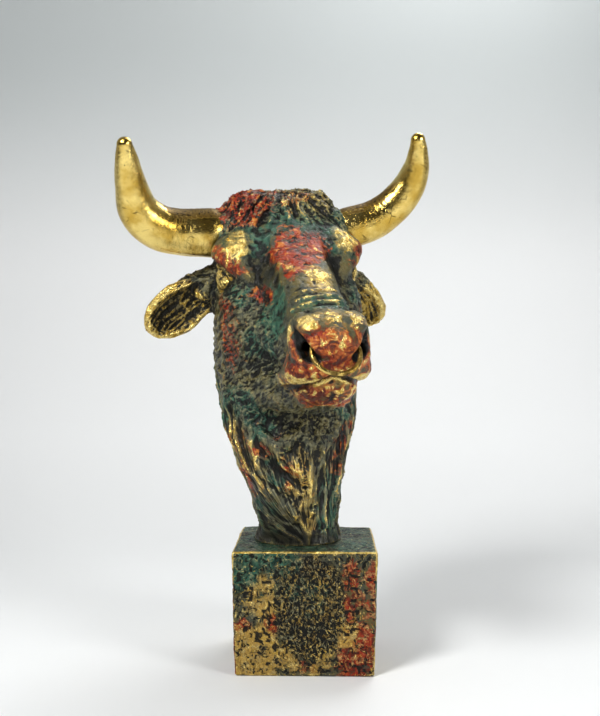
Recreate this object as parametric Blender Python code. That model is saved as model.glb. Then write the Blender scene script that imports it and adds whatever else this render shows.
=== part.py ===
"""Bull's head on a bowed neck, cast with its neck and ears, on a square plinth.

Two smooth gilt horns are seated in sockets beside the poll, and a gilt ring hangs through the nose.
Metres, +Z up, origin at the middle of the plinth's underside. The bull faces -Y and looks a little to
its own left. Places on the head are shares of its length, along three axes of its own: ahead to the
muzzle, to the bull's left, and up out of the forehead.
"""

import math

import bmesh
import bpy
import numpy as np

# Plinth
PLINTH_WIDTH = 0.1030
PLINTH_DEPTH = 0.1010
PLINTH_HEIGHT = 0.0890
PLINTH_FLARE = 0.0012
PLINTH_EDGE = 0.0022

# Head and neck
HEAD_LENGTH = 0.215
HEAD_SINK = 0.056
HEAD_OFFSET = (-0.107, -0.073)
HEAD_YAW = math.radians(16.0)
HEAD_TILT = math.radians(27.0)
HEAD_ROLL = math.radians(4.0)
NECK_HEIGHT = 0.245
NECK_WIDTH = 0.109

# Nose ring
RING_DIAMETER = 0.0345
RING_WIRE = 0.0034

# Fits and facets
FIT_GAP = 0.0003
HORN_SEAT = 0.012
SKIN_CELL = 0.0020
CAST_TRIANGLES = 6400
HORN_SIDES = 16
RING_SIDES = 8
RING_STEPS = 28


def head_axes():
    """The head's three axes in the part's frame, one in each row."""
    ahead = np.array(
        [
            math.sin(HEAD_YAW) * math.cos(HEAD_TILT),
            -math.cos(HEAD_YAW) * math.cos(HEAD_TILT),
            -math.sin(HEAD_TILT),
        ]
    )
    level = np.array([math.cos(HEAD_YAW), math.sin(HEAD_YAW), 0.0])
    crown = np.cross(ahead, level)
    left = level * math.cos(HEAD_ROLL) + crown * math.sin(HEAD_ROLL)
    return np.stack([ahead, left, np.cross(ahead, left)])


AXES = head_axes()
# The head hangs from the top of the neck; its offset is in shares of the neck's width
HEAD_PLACE = np.append(np.multiply(HEAD_OFFSET, NECK_WIDTH), PLINTH_HEIGHT + NECK_HEIGHT - HEAD_SINK)


def to_head(points):
    return (points - HEAD_PLACE) @ AXES.T / HEAD_LENGTH


def from_head(shares):
    return HEAD_PLACE + HEAD_LENGTH * (np.asarray(shares, float) @ AXES)


# Horns: a row is a place on the head and the horn's radius there, all as shares of the head's length

HORNS = {
    "horn_right": [
        (-0.200, -0.250, 0.141, 0.087),
        (-0.200, -0.367, 0.150, 0.081),
        (-0.195, -0.440, 0.173, 0.0785),
        (-0.190, -0.500, 0.233, 0.071),
        (-0.180, -0.525, 0.325, 0.055),
        (-0.165, -0.537, 0.415, 0.040),
        (-0.155, -0.543, 0.473, 0.026),
    ],
    "horn_left": [
        (-0.200, 0.255, 0.142, 0.075),
        (-0.200, 0.345, 0.168, 0.072),
        (-0.200, 0.418, 0.219, 0.066),
        (-0.195, 0.470, 0.290, 0.059),
        (-0.185, 0.489, 0.365, 0.047),
        (-0.175, 0.487, 0.430, 0.034),
        (-0.170, 0.480, 0.471, 0.026),
    ],
}


# How far back from its root each horn's collar ends, as a share of the first row's step
HORN_COLLARS = {"horn_right": 0.55, "horn_left": 0.9}
# How softly the eyeball and lids run together
LID_BLEND = 0.020


# Distances to simple masses, negative inside, and how masses run together. Points come in compact
# patches, so a mass whose box lies far from the patch gives one rough distance for all of it.


def join(a, b, blend):
    if np.min(b - a) >= blend:
        return a
    h = np.clip(0.5 + 0.5 * (b - a) / blend, 0.0, 1.0)
    return b + (a - b) * h - blend * h * (1.0 - h)


def cut(a, b, blend):
    return -join(-a, b, blend)


def apart(p, low, high):
    return float(np.linalg.norm(np.maximum(0, np.maximum(low - p.max(axis=0), p.min(axis=0) - high))))


def ellipsoid(p, centre, radii, turn=0.0, near=0.12):
    """turn, in degrees, raises its forward end in the plane of the first and third axes."""
    centre, radii = np.asarray(centre, float), np.asarray(radii, float)
    gap = apart(p, centre - radii.max(), centre + radii.max())
    if gap > near:
        return np.full(len(p), gap)
    q = p - centre
    c, s = math.cos(math.radians(turn)), math.sin(math.radians(turn))
    q = np.stack([c * q[:, 0] + s * q[:, 2], q[:, 1], c * q[:, 2] - s * q[:, 0]], axis=1)
    reach = np.linalg.norm(q / radii, axis=1)
    steep = np.linalg.norm(q / radii**2, axis=1)
    return reach * (reach - 1.0) / np.maximum(steep, 1e-9)


def curve_through(rows, steps):
    """A smooth curve through rows of any number of columns."""
    rows = np.asarray(rows, float)
    rows = np.vstack([2 * rows[0] - rows[1], rows, 2 * rows[-1] - rows[-2]])
    t = np.linspace(0, 1, steps, endpoint=False)[:, None]
    parts = []
    for before, start, end, after in zip(rows, rows[1:], rows[2:], rows[3:]):
        parts.append(
            0.5
            * (
                2 * start
                + (end - before) * t
                + (2 * before - 5 * start + 4 * end - after) * t**2
                + (3 * start - before - 3 * end + after) * t**3
            )
        )
    return np.vstack([*parts, rows[-2]])


def tube(p, rows, steps=5, near=0.045):
    """A tube along a smooth curve; a row is its x, y, z and radius."""
    line = curve_through(rows, steps)
    low = (line[:, :3] - line[:, 3:]).min(axis=0)
    high = (line[:, :3] + line[:, 3:]).max(axis=0)
    gap = apart(p, low, high)
    if gap > near:
        return np.full(len(p), gap)
    distance = np.linalg.norm(np.maximum(0, np.maximum(low - p, p - high)), axis=1)
    close = distance < near
    q = p[close]
    best = np.full(len(q), np.inf)
    for a, b in zip(line[:-1], line[1:]):
        along = b[:3] - a[:3]
        t = np.clip((q - a[:3]) @ along / max(along @ along, 1e-12), 0, 1)
        off = np.linalg.norm(q - a[:3] - t[:, None] * along, axis=1)
        np.minimum(best, off - (a[3] + (b[3] - a[3]) * t), out=best)
    distance[close] = best
    return distance


def bar(p, start, end, first, last, square):
    """A tapering bar; first and last are its half width and half height, and square fills its corners."""
    start, along = np.asarray(start, float), np.subtract(end, start).astype(float)
    t = np.clip((p - start) @ along / (along @ along), 0, 1)[:, None]
    q = p - start - t * along
    half = np.asarray(first, float) * (1 - t) + np.asarray(last, float) * t
    short = half.min(axis=1)
    reach = ((np.abs(q[:, 1:]) / half) ** square).sum(axis=1) ** (1 / square)
    return (np.sqrt(reach**2 + (q[:, 0] / short) ** 2) - 1) * short


# The head; m is a point mirrored to the left half, so each side is written once


def skull(m):
    d = ellipsoid(m, (-0.13, 0, 0.03), (0.22, 0.215, 0.205), near=9.0)
    bridge = bar(m, (-0.08, 0, 0.085), (0.26, 0, 0.070), (0.165, 0.125), (0.094, 0.090), 2.8)
    nose = bar(m, (0.26, 0, 0.070), (0.50, 0, 0.050), (0.094, 0.090), (0.086, 0.080), 2.8)
    face = bar(m, (0.06, 0, -0.06), (0.46, 0, -0.02), (0.20, 0.15), (0.100, 0.105), 2.2)
    socket = tube(m, [(-0.20, 0.10, 0.13, 0.100), (-0.20, 0.165, 0.134, 0.090)], 2, 0.12)
    for mass, blend in ((bridge, 0.05), (nose, 0.02), (face, 0.05), (socket, 0.05)):
        d = join(d, mass, blend)
    return d


def horn_collars(p, d):
    """A low rim of skin round the root of each horn."""
    for name, rows in HORNS.items():
        root, onward = np.array(rows[0]), np.array(rows[1]) - rows[0]
        start, end = root - 1.5 * onward, root - HORN_COLLARS[name] * onward
        start[3] = end[3] = root[3] + 0.008
        d = join(d, tube(p, [start, end], 2), 0.020)
    return d


def jaws(m, d):
    cheek = ellipsoid(m, (0.02, 0.150, -0.15), (0.19, 0.102, 0.22), -12)
    jaw = tube(
        m,
        [
            (-0.02, 0.150, -0.30, 0.075),
            (0.14, 0.130, -0.30, 0.075),
            (0.34, 0.080, -0.215, 0.060),
            (0.50, 0.045, -0.14, 0.050),
        ],
        near=0.12,
    )
    throat = ellipsoid(m, (0.12, 0, -0.18), (0.30, 0.13, 0.11), -14)
    cheekbone = tube(
        m,
        [(-0.02, 0.190, -0.010, 0.036), (0.12, 0.156, -0.020, 0.030), (0.27, 0.118, -0.040, 0.020)],
        near=0.12,
    )
    for mass, blend in ((cheek, 0.06), (jaw, 0.05), (throat, 0.06), (cheekbone, 0.06)):
        d = join(d, mass, blend)
    return d


def brow_and_eye(m, d):
    swelling = ellipsoid(m, (-0.070, 0.160, 0.112), (0.120, 0.084, 0.070), 18)
    valley = tube(
        m,
        [
            (-0.10, 0.118, 0.245, 0.014),
            (-0.02, 0.126, 0.214, 0.016),
            (0.05, 0.132, 0.176, 0.016),
            (0.13, 0.138, 0.140, 0.014),
        ],
    )
    hollow = tube(
        m, [(0.09, 0.118, 0.160, 0.010), (0.16, 0.112, 0.140, 0.017), (0.25, 0.116, 0.115, 0.010)]
    )
    socket = ellipsoid(m, (-0.035, 0.272, 0.028), (0.078, 0.050, 0.046), 14)
    ridge = tube(
        m,
        [
            (-0.130, 0.218, 0.090, 0.022),
            (-0.075, 0.240, 0.114, 0.026),
            (-0.010, 0.222, 0.116, 0.026),
            (0.045, 0.188, 0.102, 0.022),
            (0.085, 0.164, 0.084, 0.014),
        ],
    )
    ball = ellipsoid(m, (-0.048, 0.206, 0.030), (0.050, 0.048, 0.047))
    upper_lid = tube(
        m,
        [
            (-0.105, 0.224, 0.020, 0.008),
            (-0.072, 0.239, 0.068, 0.009),
            (-0.020, 0.230, 0.077, 0.009),
            (0.022, 0.200, 0.042, 0.008),
        ],
    )
    lower_lid = tube(
        m,
        [
            (-0.105, 0.224, 0.020, 0.008),
            (-0.068, 0.235, -0.014, 0.009),
            (-0.016, 0.225, -0.012, 0.009),
            (0.026, 0.197, 0.030, 0.007),
        ],
    )
    bag = tube(
        m, [(-0.085, 0.230, -0.044, 0.008), (-0.020, 0.222, -0.046, 0.009), (0.040, 0.190, -0.016, 0.008)]
    )
    d = cut(cut(join(d, swelling, 0.050), valley, 0.045), hollow, 0.030)
    d = join(cut(d, socket, 0.025), ridge, 0.035)
    for mass, blend in ((ball, LID_BLEND), (upper_lid, LID_BLEND), (lower_lid, LID_BLEND), (bag, 0.024)):
        d = join(d, mass, blend)
    return d


def muzzle(m, d):
    snout = ellipsoid(m, (0.53, 0, 0.045), (0.100, 0.114, 0.098))
    lip = ellipsoid(m, (0.530, 0.048, -0.022), (0.098, 0.080, 0.068), 28)
    lip_edge = tube(
        m,
        [
            (0.612, 0.000, 0.026, 0.026),
            (0.588, 0.060, 0.000, 0.030),
            (0.545, 0.094, -0.036, 0.034),
            (0.480, 0.104, -0.080, 0.034),
            (0.420, 0.106, -0.125, 0.028),
        ],
    )
    chin = ellipsoid(m, (0.520, 0, -0.092), (0.082, 0.104, 0.074), 18)
    pad = bar(m, (0.540, 0, 0.076), (0.580, 0, 0.064), (0.104, 0.066), (0.084, 0.056), 2.5)
    mouth = tube(
        m,
        [
            (0.616, 0.000, -0.016, 0.013),
            (0.598, 0.052, -0.038, 0.013),
            (0.558, 0.092, -0.076, 0.013),
            (0.497, 0.118, -0.120, 0.012),
            (0.436, 0.130, -0.160, 0.008),
        ],
    )
    cleft = tube(m, [(0.618, 0, -0.040, 0.005), (0.620, 0, -0.075, 0.009), (0.605, 0, -0.110, 0.005)])
    for mass, blend in ((snout, 0.035), (lip, 0.030), (lip_edge, 0.025), (chin, 0.012)):
        d = join(d, mass, blend)
    return join(cut(cut(d, mouth, 0.010), cleft, 0.010), pad, 0.014)


def nostrils(m, d):
    wing = tube(
        m,
        [
            (0.490, 0.084, 0.120, 0.010),
            (0.508, 0.104, 0.106, 0.014),
            (0.528, 0.110, 0.066, 0.015),
            (0.562, 0.102, 0.032, 0.015),
            (0.600, 0.070, 0.020, 0.011),
        ],
    )
    comma = tube(
        m,
        [
            (0.528, 0.096, 0.128, 0.007),
            (0.545, 0.101, 0.108, 0.012),
            (0.565, 0.100, 0.086, 0.016),
            (0.594, 0.089, 0.063, 0.021),
            (0.624, 0.064, 0.048, 0.014),
        ],
    )
    passage = tube(m, [(0.605, 0.085, 0.054, 0.019), (0.52, 0.060, 0.056, 0.018)], 2)
    return cut(cut(join(d, wing, 0.022), comma, 0.010), passage, 0.008)


def nose_wrinkles(m, d, count=4, first=0.350, spacing=0.038):
    for k in range(count):
        a, top = first + spacing * k, 0.139 - 0.002 * k
        fold = [
            (a - 0.02, 0.085, top - 0.034, 0.006),
            (a + 0.008, 0.05, top - 0.006, 0.009),
            (a + 0.012, 0, top, 0.009),
        ]
        d = join(d, tube(m, fold), 0.010)
    return d


def poll_cap(p):
    """The mass of hair over the poll, broad and flat on top."""
    side = np.abs(p)
    side[:, [0, 2]] = p[:, [0, 2]]
    return join(
        ellipsoid(side, (-0.205, 0.110, 0.100), (0.150, 0.128, 0.166)),
        ellipsoid(p, (-0.205, 0, 0.100), (0.150, 0.125, 0.168)),
        0.04,
    )


def lock_rows(count=11, spread=84.0):
    """Locks that fan from the middle of the crown, each dropped onto the skin."""
    locks = []
    for k in range(count):
        a = math.radians(-spread + 2 * spread * k / (count - 1))
        rows = []
        for reach, radius in ((0.02, 0.016), (0.10, 0.022), (0.17, 0.020), (0.235, 0.007)):
            reach *= 1 - 0.08 * abs(math.sin(a))
            spot = np.array([[-0.25 + 0.9 * reach * math.cos(a), reach * math.sin(a), 0.45]])
            for _ in range(30):
                gap = min(skull(spot * (1, np.sign(spot[0, 1]), 1))[0], poll_cap(spot)[0])
                spot[0, 2] -= 0.8 * gap
            rows.append((*spot[0], radius))
        locks.append(rows)
    return locks


LOCKS = lock_rows()


def hair_locks(p, d):
    locks = np.full(len(p), np.inf)
    for rows in LOCKS:
        locks = np.minimum(locks, tube(p, rows, 4))
    return join(d, locks, 0.010)


# Ears: a cupped leaf on a stem; each side has its own tip and the way its cup faces

EAR_ROOT = (-0.165, 0.225, -0.020)
EARS = {
    -1: {"tip": (-0.15, -0.480, -0.215), "faces": (0.93, -0.30, -0.25)},
    1: {"tip": (-0.25, 0.397, -0.285), "faces": (0.80, -0.45, 0.00)},
}


def ear_frame(side):
    root = np.array(EAR_ROOT) * (1, side, 1)
    along = np.array(EARS[side]["tip"]) - root
    length = np.linalg.norm(along)
    x = along / length
    z = np.array(EARS[side]["faces"])
    z = z - (z @ x) * x
    z /= np.linalg.norm(z)
    return root, along, length, np.stack([x, np.cross(z, x), z])


def ear(p, side):
    root, along, length, turn = ear_frame(side)
    q = (p - root) @ turn.T
    leaf = join(
        ellipsoid(q, (0.60 * length, 0, -0.010), (0.42 * length, 0.096, 0.042)),
        ellipsoid(q, (0.30 * length, 0, -0.012), (0.34 * length, 0.082, 0.045)),
        0.02,
    )
    cup = join(
        ellipsoid(q, (0.58 * length, 0, 0.032), (0.39 * length, 0.080, 0.052)),
        ellipsoid(q, (0.34 * length, 0, 0.032), (0.28 * length, 0.056, 0.048)),
        0.02,
    )
    d = cut(leaf, cup, 0.010)
    for y in (-0.03, 0.0, 0.03):
        rib = [
            (0.25 * length, 0.6 * y, -0.022, 0.006),
            (0.55 * length, y, -0.028, 0.008),
            (0.80 * length, 0.9 * y, -0.022, 0.005),
        ]
        d = join(d, tube(q, rib, 4), 0.010)
    stem = [
        (*(root + share * along), radius)
        for share, radius in ((-0.15, 0.060), (0.05, 0.056), (0.22, 0.036))
    ]
    return join(d, tube(p, stem, 3), 0.02)


def head(p):
    m = p.copy()
    m[:, 1] = np.abs(p[:, 1])
    d = skull(m)
    for feature in (jaws, brow_and_eye, muzzle, nostrils, nose_wrinkles):
        d = feature(m, d)
    d = horn_collars(p, join(d, poll_cap(p), 0.025))
    d = hair_locks(p, d)
    for side in EARS:
        d = join(d, ear(p, side), 0.025)
    return d


# Neck: a row is a share of its height, then its middle in x and y and its half width and half depth as
# shares of its width

NECK = np.array(
    [
        (0.000, -0.055, 0.037, 0.303, 0.339),
        (0.045, -0.060, 0.037, 0.275, 0.312),
        (0.147, -0.083, 0.064, 0.312, 0.330),
        (0.249, -0.115, 0.110, 0.376, 0.385),
        (0.371, -0.124, 0.174, 0.459, 0.468),
        (0.514, -0.151, 0.239, 0.500, 0.532),
        (0.657, -0.165, 0.275, 0.500, 0.550),
        (0.820, -0.170, 0.294, 0.468, 0.514),
        (0.920, -0.156, 0.275, 0.330, 0.385),
    ]
)
NECK_SQUARE = 2.3

# Folds of the neck: a row is degrees round from the front, towards the bull's left, and a share of height
FOLDS = [
    [(-52, 0.490), (-62, 0.371), (-50, 0.269), (-33, 0.163), (-4, 0.073)],
    [(-38, 0.424), (-33, 0.343), (-33, 0.253), (-19, 0.192), (8, 0.151)],
    [(-31, 0.359), (-20, 0.314), (-9, 0.273), (11, 0.220), (15, 0.184)],
    [(-17, 0.306), (-6, 0.298), (9, 0.331), (13, 0.359)],
    [(17, 0.400), (19, 0.302), (23, 0.212), (25, 0.131)],
    [(34, 0.392), (30, 0.339), (22, 0.265)],
    [(42, 0.392), (43, 0.347), (34, 0.302), (28, 0.253)],
    [(50, 0.404), (66, 0.355), (62, 0.306), (59, 0.245), (62, 0.176), (70, 0.102)],
    [(-30, 0.184), (-15, 0.131), (2, 0.090)],
    [(-46, 0.118), (-34, 0.078)],
]
HOLLOW = (-10, 0.355)


def neck_at(height):
    """Middle and half sizes of the neck, in metres, at a share of its height."""
    return [NECK_WIDTH * np.interp(height, NECK[:, 0], NECK[:, k]) for k in range(1, 5)]


def on_neck(degrees, height, sink=0.0):
    """A point on the neck's skin, or under it by a share of the neck's width."""
    x, y, half_width, half_depth = neck_at(height)
    s, c = math.sin(math.radians(degrees)), math.cos(math.radians(degrees))
    power = NECK_SQUARE
    out = (abs(s / half_width) ** power + abs(c / half_depth) ** power) ** (-1 / power) - sink * NECK_WIDTH
    return (x + s * out, y - c * out, PLINTH_HEIGHT + height * NECK_HEIGHT)


def neck_column(w):
    height = (w[:, 2] - PLINTH_HEIGHT) / NECK_HEIGHT
    x, y, half_width, half_depth = neck_at(height)
    short = np.minimum(half_width, half_depth)
    across = np.abs((w[:, 0] - x) / half_width) ** NECK_SQUARE
    across += np.abs((w[:, 1] - y) / half_depth) ** NECK_SQUARE
    above = np.maximum(0, height - NECK[-1, 0]) * NECK_HEIGHT / short
    return (np.sqrt(across ** (2 / NECK_SQUARE) + above**2) - 1) * 0.95 * short


def back_folds():
    """Long folds down the sides and the back of the neck, in keeping with those in front."""
    for k, degrees in enumerate(range(92, 262, 24)):
        lean = 14 * math.sin(1.7 * k)
        foot = 0.10 + 0.04 * math.cos(2.3 * k)
        yield [(degrees + lean * (1 - 2 * t), foot + 0.50 * t) for t in (0, 0.35, 0.7, 1)]


def neck(w):
    d = neck_column(w)
    hollow = ellipsoid(w, on_neck(*HOLLOW, sink=-0.055), np.multiply((0.119, 0.092, 0.128), NECK_WIDTH))
    d = cut(d, hollow, 0.073 * NECK_WIDTH)
    for fold in [*FOLDS, *back_folds()]:
        ends = len(fold) - 1
        rows = [
            (*on_neck(*spot, sink=0.0165), (0.0275 if k in (0, ends) else 0.046) * NECK_WIDTH)
            for k, spot in enumerate(fold)
        ]
        d = join(d, tube(w, rows, 5, near=0.18 * NECK_WIDTH), 0.0275 * NECK_WIDTH)
    return d


def casting(w):
    """The whole casting: head, ears and neck, cut flat where it sits on the plinth."""
    d = join(head(to_head(w)) * HEAD_LENGTH, neck(w), 0.037 * HEAD_LENGTH)
    return np.maximum(d, PLINTH_HEIGHT + FIT_GAP - w[:, 2])


# The skin of a form: one point in each cell that the surface crosses, joined across crossed edges


def patchwise(form, points, size=5000, patch=0.03):
    """The form at many points, taken in compact patches."""
    key = np.floor((points - points.min(axis=0)) / patch).astype(np.int64)
    order = np.lexsort(key.T)
    value = np.empty(len(points))
    for start in range(0, len(points), size):
        rows = order[start : start + size]
        value[rows] = form(points[rows])
    return value


def crossed_cells(form, low, high, cell):
    """Cells near the surface, found from coarse blocks downward."""
    block = 8
    count = np.ceil((high - low) / cell / block).astype(int)
    cells = np.stack(np.meshgrid(*[np.arange(n) for n in count], indexing="ij"), -1).reshape(-1, 3)
    while block > 1:
        middle = low + (cells + 0.5) * block * cell
        cells = cells[np.abs(patchwise(form, middle)) < 1.6 * block * cell]
        block //= 2
        corners = np.stack(np.meshgrid([0, 1], [0, 1], [0, 1], indexing="ij"), -1).reshape(-1, 3)
        cells = (2 * cells[:, None] + corners).reshape(-1, 3)
    return cells


# The corners of a cell's six sides, each counted as 4 x + 2 y + z
CELL_SIDES = ((0, 1, 3, 2), (4, 5, 7, 6), (0, 1, 5, 4), (2, 3, 7, 6), (0, 2, 6, 4), (1, 3, 7, 5))


def unpinched(value, cells):
    """Turns the faintest corner of each chequered side, where two sheets of skin would share an edge."""
    faintest = 1e-7
    for side in CELL_SIDES * 6:
        corners = cells[:, side]
        inside = value[corners] < 0
        chequered = (inside[:, 0] == inside[:, 2]) & (inside[:, 1] == inside[:, 3])
        chequered &= inside[:, 0] != inside[:, 1]
        corners = corners[chequered]
        turned = corners[np.arange(len(corners)), np.abs(value[corners]).argmin(axis=1)]
        value[turned] = np.where(value[turned] < 0, faintest, -faintest)
    return value


def skin_of(form, low, high, cell):
    cells = crossed_cells(form, low, high, cell)
    corners = np.stack(np.meshgrid([0, 1], [0, 1], [0, 1], indexing="ij"), -1).reshape(-1, 3)
    span = cells.max(axis=0) + 3
    flat = lambda index: (index[..., 0] * span[1] + index[..., 1]) * span[2] + index[..., 2]
    every = cells[:, None] + corners
    keys, where = np.unique(flat(every), return_inverse=True)
    spots = np.stack([keys // (span[1] * span[2]), keys // span[2] % span[1], keys % span[2]], 1)
    value = unpinched(patchwise(form, low + spots * cell), where.reshape(len(cells), 8))
    at = value[where.reshape(len(cells), 8)]
    crossed = (at.min(axis=1) < 0) & (at.max(axis=1) >= 0)
    cells, at, every = cells[crossed], at[crossed], every[crossed]

    total, number = np.zeros((len(cells), 3)), np.zeros(len(cells))
    for i in range(8):
        for j in range(i + 1, 8):
            if np.abs(corners[i] - corners[j]).sum() != 1:
                continue
            hit = (at[:, i] < 0) != (at[:, j] < 0)
            t = at[hit, i] / (at[hit, i] - at[hit, j])
            total[hit] += every[hit, i] + t[:, None] * (every[hit, j] - every[hit, i])
            number[hit] += 1
    points = low + cell * total / number[:, None]

    order = np.argsort(flat(cells))
    sorted_keys = flat(cells)[order]
    find = lambda index: order[np.searchsorted(sorted_keys, flat(index))]
    faces = []
    for axis in range(3):
        step, side, other = np.eye(3, dtype=int)[[axis, (axis + 1) % 3, (axis + 2) % 3]]
        end = int(np.flatnonzero((corners == step).all(axis=1))[0])
        hit = (at[:, 0] < 0) != (at[:, end] < 0)
        base = cells[hit]
        ring = np.stack([find(base - side - other), find(base - other), find(base), find(base - side)], 1)
        inside = at[hit, 0] < 0
        faces += [ring[inside], ring[~inside][:, ::-1]]
    return outer_shell(settle(form, points, cell), np.vstack(faces))


def outer_shell(points, faces):
    """Drops small bubbles that masses seal between them, and keeps the one large surface."""
    label, joined = np.arange(len(points)), None
    while joined is None or (joined != label).any():
        label = label if joined is None else joined
        joined = label.copy()
        np.minimum.at(joined, faces.ravel(), np.repeat(label[faces].min(axis=1), faces.shape[1]))
        joined = joined[joined]
    kept = label == np.bincount(label).argmax()
    number = np.cumsum(kept) - 1
    return points[kept], number[faces[kept[faces[:, 0]]]]


def settle(form, points, cell):
    """Moves each point along the slope onto the form, by less than a cell."""
    step = 0.2 * cell
    for _ in range(2):
        value = patchwise(form, points)
        ahead = [patchwise(form, points + step * e) for e in np.eye(3)]
        slope = (np.stack(ahead, 1) - value[:, None]) / step
        move = -value[:, None] * slope / np.maximum((slope**2).sum(axis=1), 0.25)[:, None]
        points = points + np.clip(move, -0.5 * cell, 0.5 * cell)
    return points


# Objects


def finish(name, colour, roughness, metallic):
    material = bpy.data.materials.new(name)
    material.diffuse_color = (*colour, 1.0)
    material.use_nodes = True
    shader = material.node_tree.nodes["Principled BSDF"]
    shader.inputs["Base Color"].default_value = (*colour, 1.0)
    shader.inputs["Roughness"].default_value = roughness
    shader.inputs["Metallic"].default_value = metallic
    return material


def place(name, mesh, material=None):
    obj = bpy.data.objects.new(name, mesh)
    bpy.context.scene.collection.objects.link(obj)
    if material:
        mesh.materials.append(material)
    else:
        obj.hide_render = True
        obj.display_type = "WIRE"
    return obj


def weld(mesh):
    """Joins a swept bar's caps to its sides."""
    work = bmesh.new()
    work.from_mesh(mesh)
    bmesh.ops.remove_doubles(work, verts=work.verts, dist=1e-6)
    work.to_mesh(mesh)
    work.free()


def swept(name, line, radii, sides, material=None, closed=False):
    """A round bar along a line of points, made from a bevelled curve."""
    data = bpy.data.curves.new(name, "CURVE")
    data.dimensions = "3D"
    data.bevel_depth = 1.0
    data.bevel_resolution = sides // 2 - 2
    data.use_fill_caps = not closed
    data.twist_mode = "MINIMUM"
    spline = data.splines.new("POLY")
    spline.points.add(len(line) - 1)
    for point, spot, radius in zip(spline.points, line, radii):
        point.co = (*spot, 1.0)
        point.radius = radius
    spline.use_cyclic_u = closed
    guide = bpy.data.objects.new(name + "_guide", data)
    bpy.context.scene.collection.objects.link(guide)
    bpy.context.view_layer.update()
    mesh = bpy.data.meshes.new_from_object(guide.evaluated_get(bpy.context.evaluated_depsgraph_get()))
    bpy.data.objects.remove(guide)
    mesh.name = name
    weld(mesh)
    mesh.shade_smooth()
    return place(name, mesh, material)


def subtract(obj, cutter):
    modifier = obj.modifiers.new(cutter.name, "BOOLEAN")
    modifier.operation = "DIFFERENCE"
    modifier.object = cutter


# Horns


def horn_line(rows, steps=4, tip_steps=3):
    """The horn's middle line and radii in metres, from its seat in the head to a rounded tip."""
    line = curve_through(rows, steps)
    spots, radii = from_head(line[:, :3]), line[:, 3] * HEAD_LENGTH
    inward = spots[0] - spots[1]
    seat = spots[0] + HORN_SEAT * inward / np.linalg.norm(inward)
    spots, radii = np.vstack([seat, spots]), np.append(radii[0] * 0.9, radii)
    onward = spots[-1] - spots[-2]
    onward /= np.linalg.norm(onward)
    last_spot, last_radius = spots[-1], radii[-1]
    for k in range(1, tip_steps + 1):
        turn = 0.46 * math.pi * k / tip_steps
        spots = np.vstack([spots, last_spot + onward * last_radius * math.sin(turn)])
        radii = np.append(radii, last_radius * math.cos(turn))
    return spots, radii


def add_horn(name, cast, material):
    spots, radii = horn_line(HORNS[name])
    horn = swept(name, spots, radii, HORN_SIDES, material)
    back = spots[0] - spots[1]
    spots = spots.copy()
    spots[0] += FIT_GAP * back / np.linalg.norm(back)
    subtract(cast, swept(name + "_socket", spots, radii + FIT_GAP, HORN_SIDES))
    return horn


# Nose ring: its lowest point hangs in front of the upper lip, and its top runs through the nose

RING_LOW = (0.675, 0.0, 0.020)
RING_UP = (-0.866, 0.0, 0.477)


def ring_line():
    radius = 0.5 * (RING_DIAMETER - RING_WIRE)
    up = np.array(RING_UP) @ AXES
    across = AXES[1]
    middle = from_head(RING_LOW) + radius * up
    turns = [2 * math.pi * k / RING_STEPS for k in range(RING_STEPS)]
    return [middle + radius * (math.cos(t) * up + math.sin(t) * across) for t in turns]


def add_ring(cast, material):
    line = ring_line()
    ring = swept("nose_ring", line, [0.5 * RING_WIRE] * len(line), RING_SIDES, material, closed=True)
    bore = [0.5 * RING_WIRE + FIT_GAP] * len(line)
    subtract(cast, swept("ring_bore", line, bore, RING_SIDES, closed=True))
    return ring


def add_plinth(material):
    """A block a little wider at its top, with softened edges."""
    bpy.ops.mesh.primitive_cube_add(size=1.0, location=(0, 0, 0.5 * PLINTH_HEIGHT))
    obj = bpy.context.object
    obj.name = obj.data.name = "plinth"
    for corner in obj.data.vertices:
        flare = math.copysign(0.5 * PLINTH_FLARE, corner.co.z)
        corner.co.x *= PLINTH_WIDTH + 2 * flare
        corner.co.y *= PLINTH_DEPTH + 2 * flare
        corner.co.z *= PLINTH_HEIGHT
    edge = obj.modifiers.new("edge", "BEVEL")
    edge.width = PLINTH_EDGE
    edge.segments = 3
    edge.limit_method = "ANGLE"
    obj.data.materials.append(material)
    return obj


def add_casting(material):
    reach = 0.62 * HEAD_LENGTH
    low = np.array([-reach, -0.86 * HEAD_LENGTH, PLINTH_HEIGHT - 4 * SKIN_CELL])
    high = np.array([0.52 * HEAD_LENGTH, 0.56 * HEAD_LENGTH, HEAD_PLACE[2] + 0.45 * HEAD_LENGTH])
    points, faces = skin_of(casting, low, high, SKIN_CELL)
    mesh = bpy.data.meshes.new("bull_head")
    mesh.from_pydata(points.tolist(), [], faces.tolist())
    mesh.shade_smooth()
    obj = place("bull_head", mesh, material)
    facets = obj.modifiers.new("facets", "DECIMATE")
    facets.ratio = CAST_TRIANGLES / (2 * len(faces))
    return obj


def main():
    for obj in list(bpy.data.objects):
        bpy.data.objects.remove(obj)
    patina = finish("patina", (0.10, 0.17, 0.13), 0.50, 0.25)
    plinth_patina = finish("plinth_patina", (0.14, 0.11, 0.06), 0.55, 0.25)
    gilt = finish("gilt", (0.72, 0.50, 0.16), 0.28, 0.90)
    ring_gilt = finish("ring_gilt", (0.66, 0.45, 0.15), 0.35, 0.90)
    add_plinth(plinth_patina)
    cast = add_casting(patina)
    for name in HORNS:
        add_horn(name, cast, gilt)
    add_ring(cast, ring_gilt)


main()
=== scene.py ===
"""The looks of a bull's head bust: a painted casting with gilt horns and a nose ring, on a plinth.

Each CAD solid is replaced by a fine skin of the same form with the carving and the painted surface
added. Metres, +Z up. Places on the head are shares of its length, along three axes of its own: ahead
to the muzzle, to the bull's left, and up out of the forehead.
"""

import math

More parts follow.
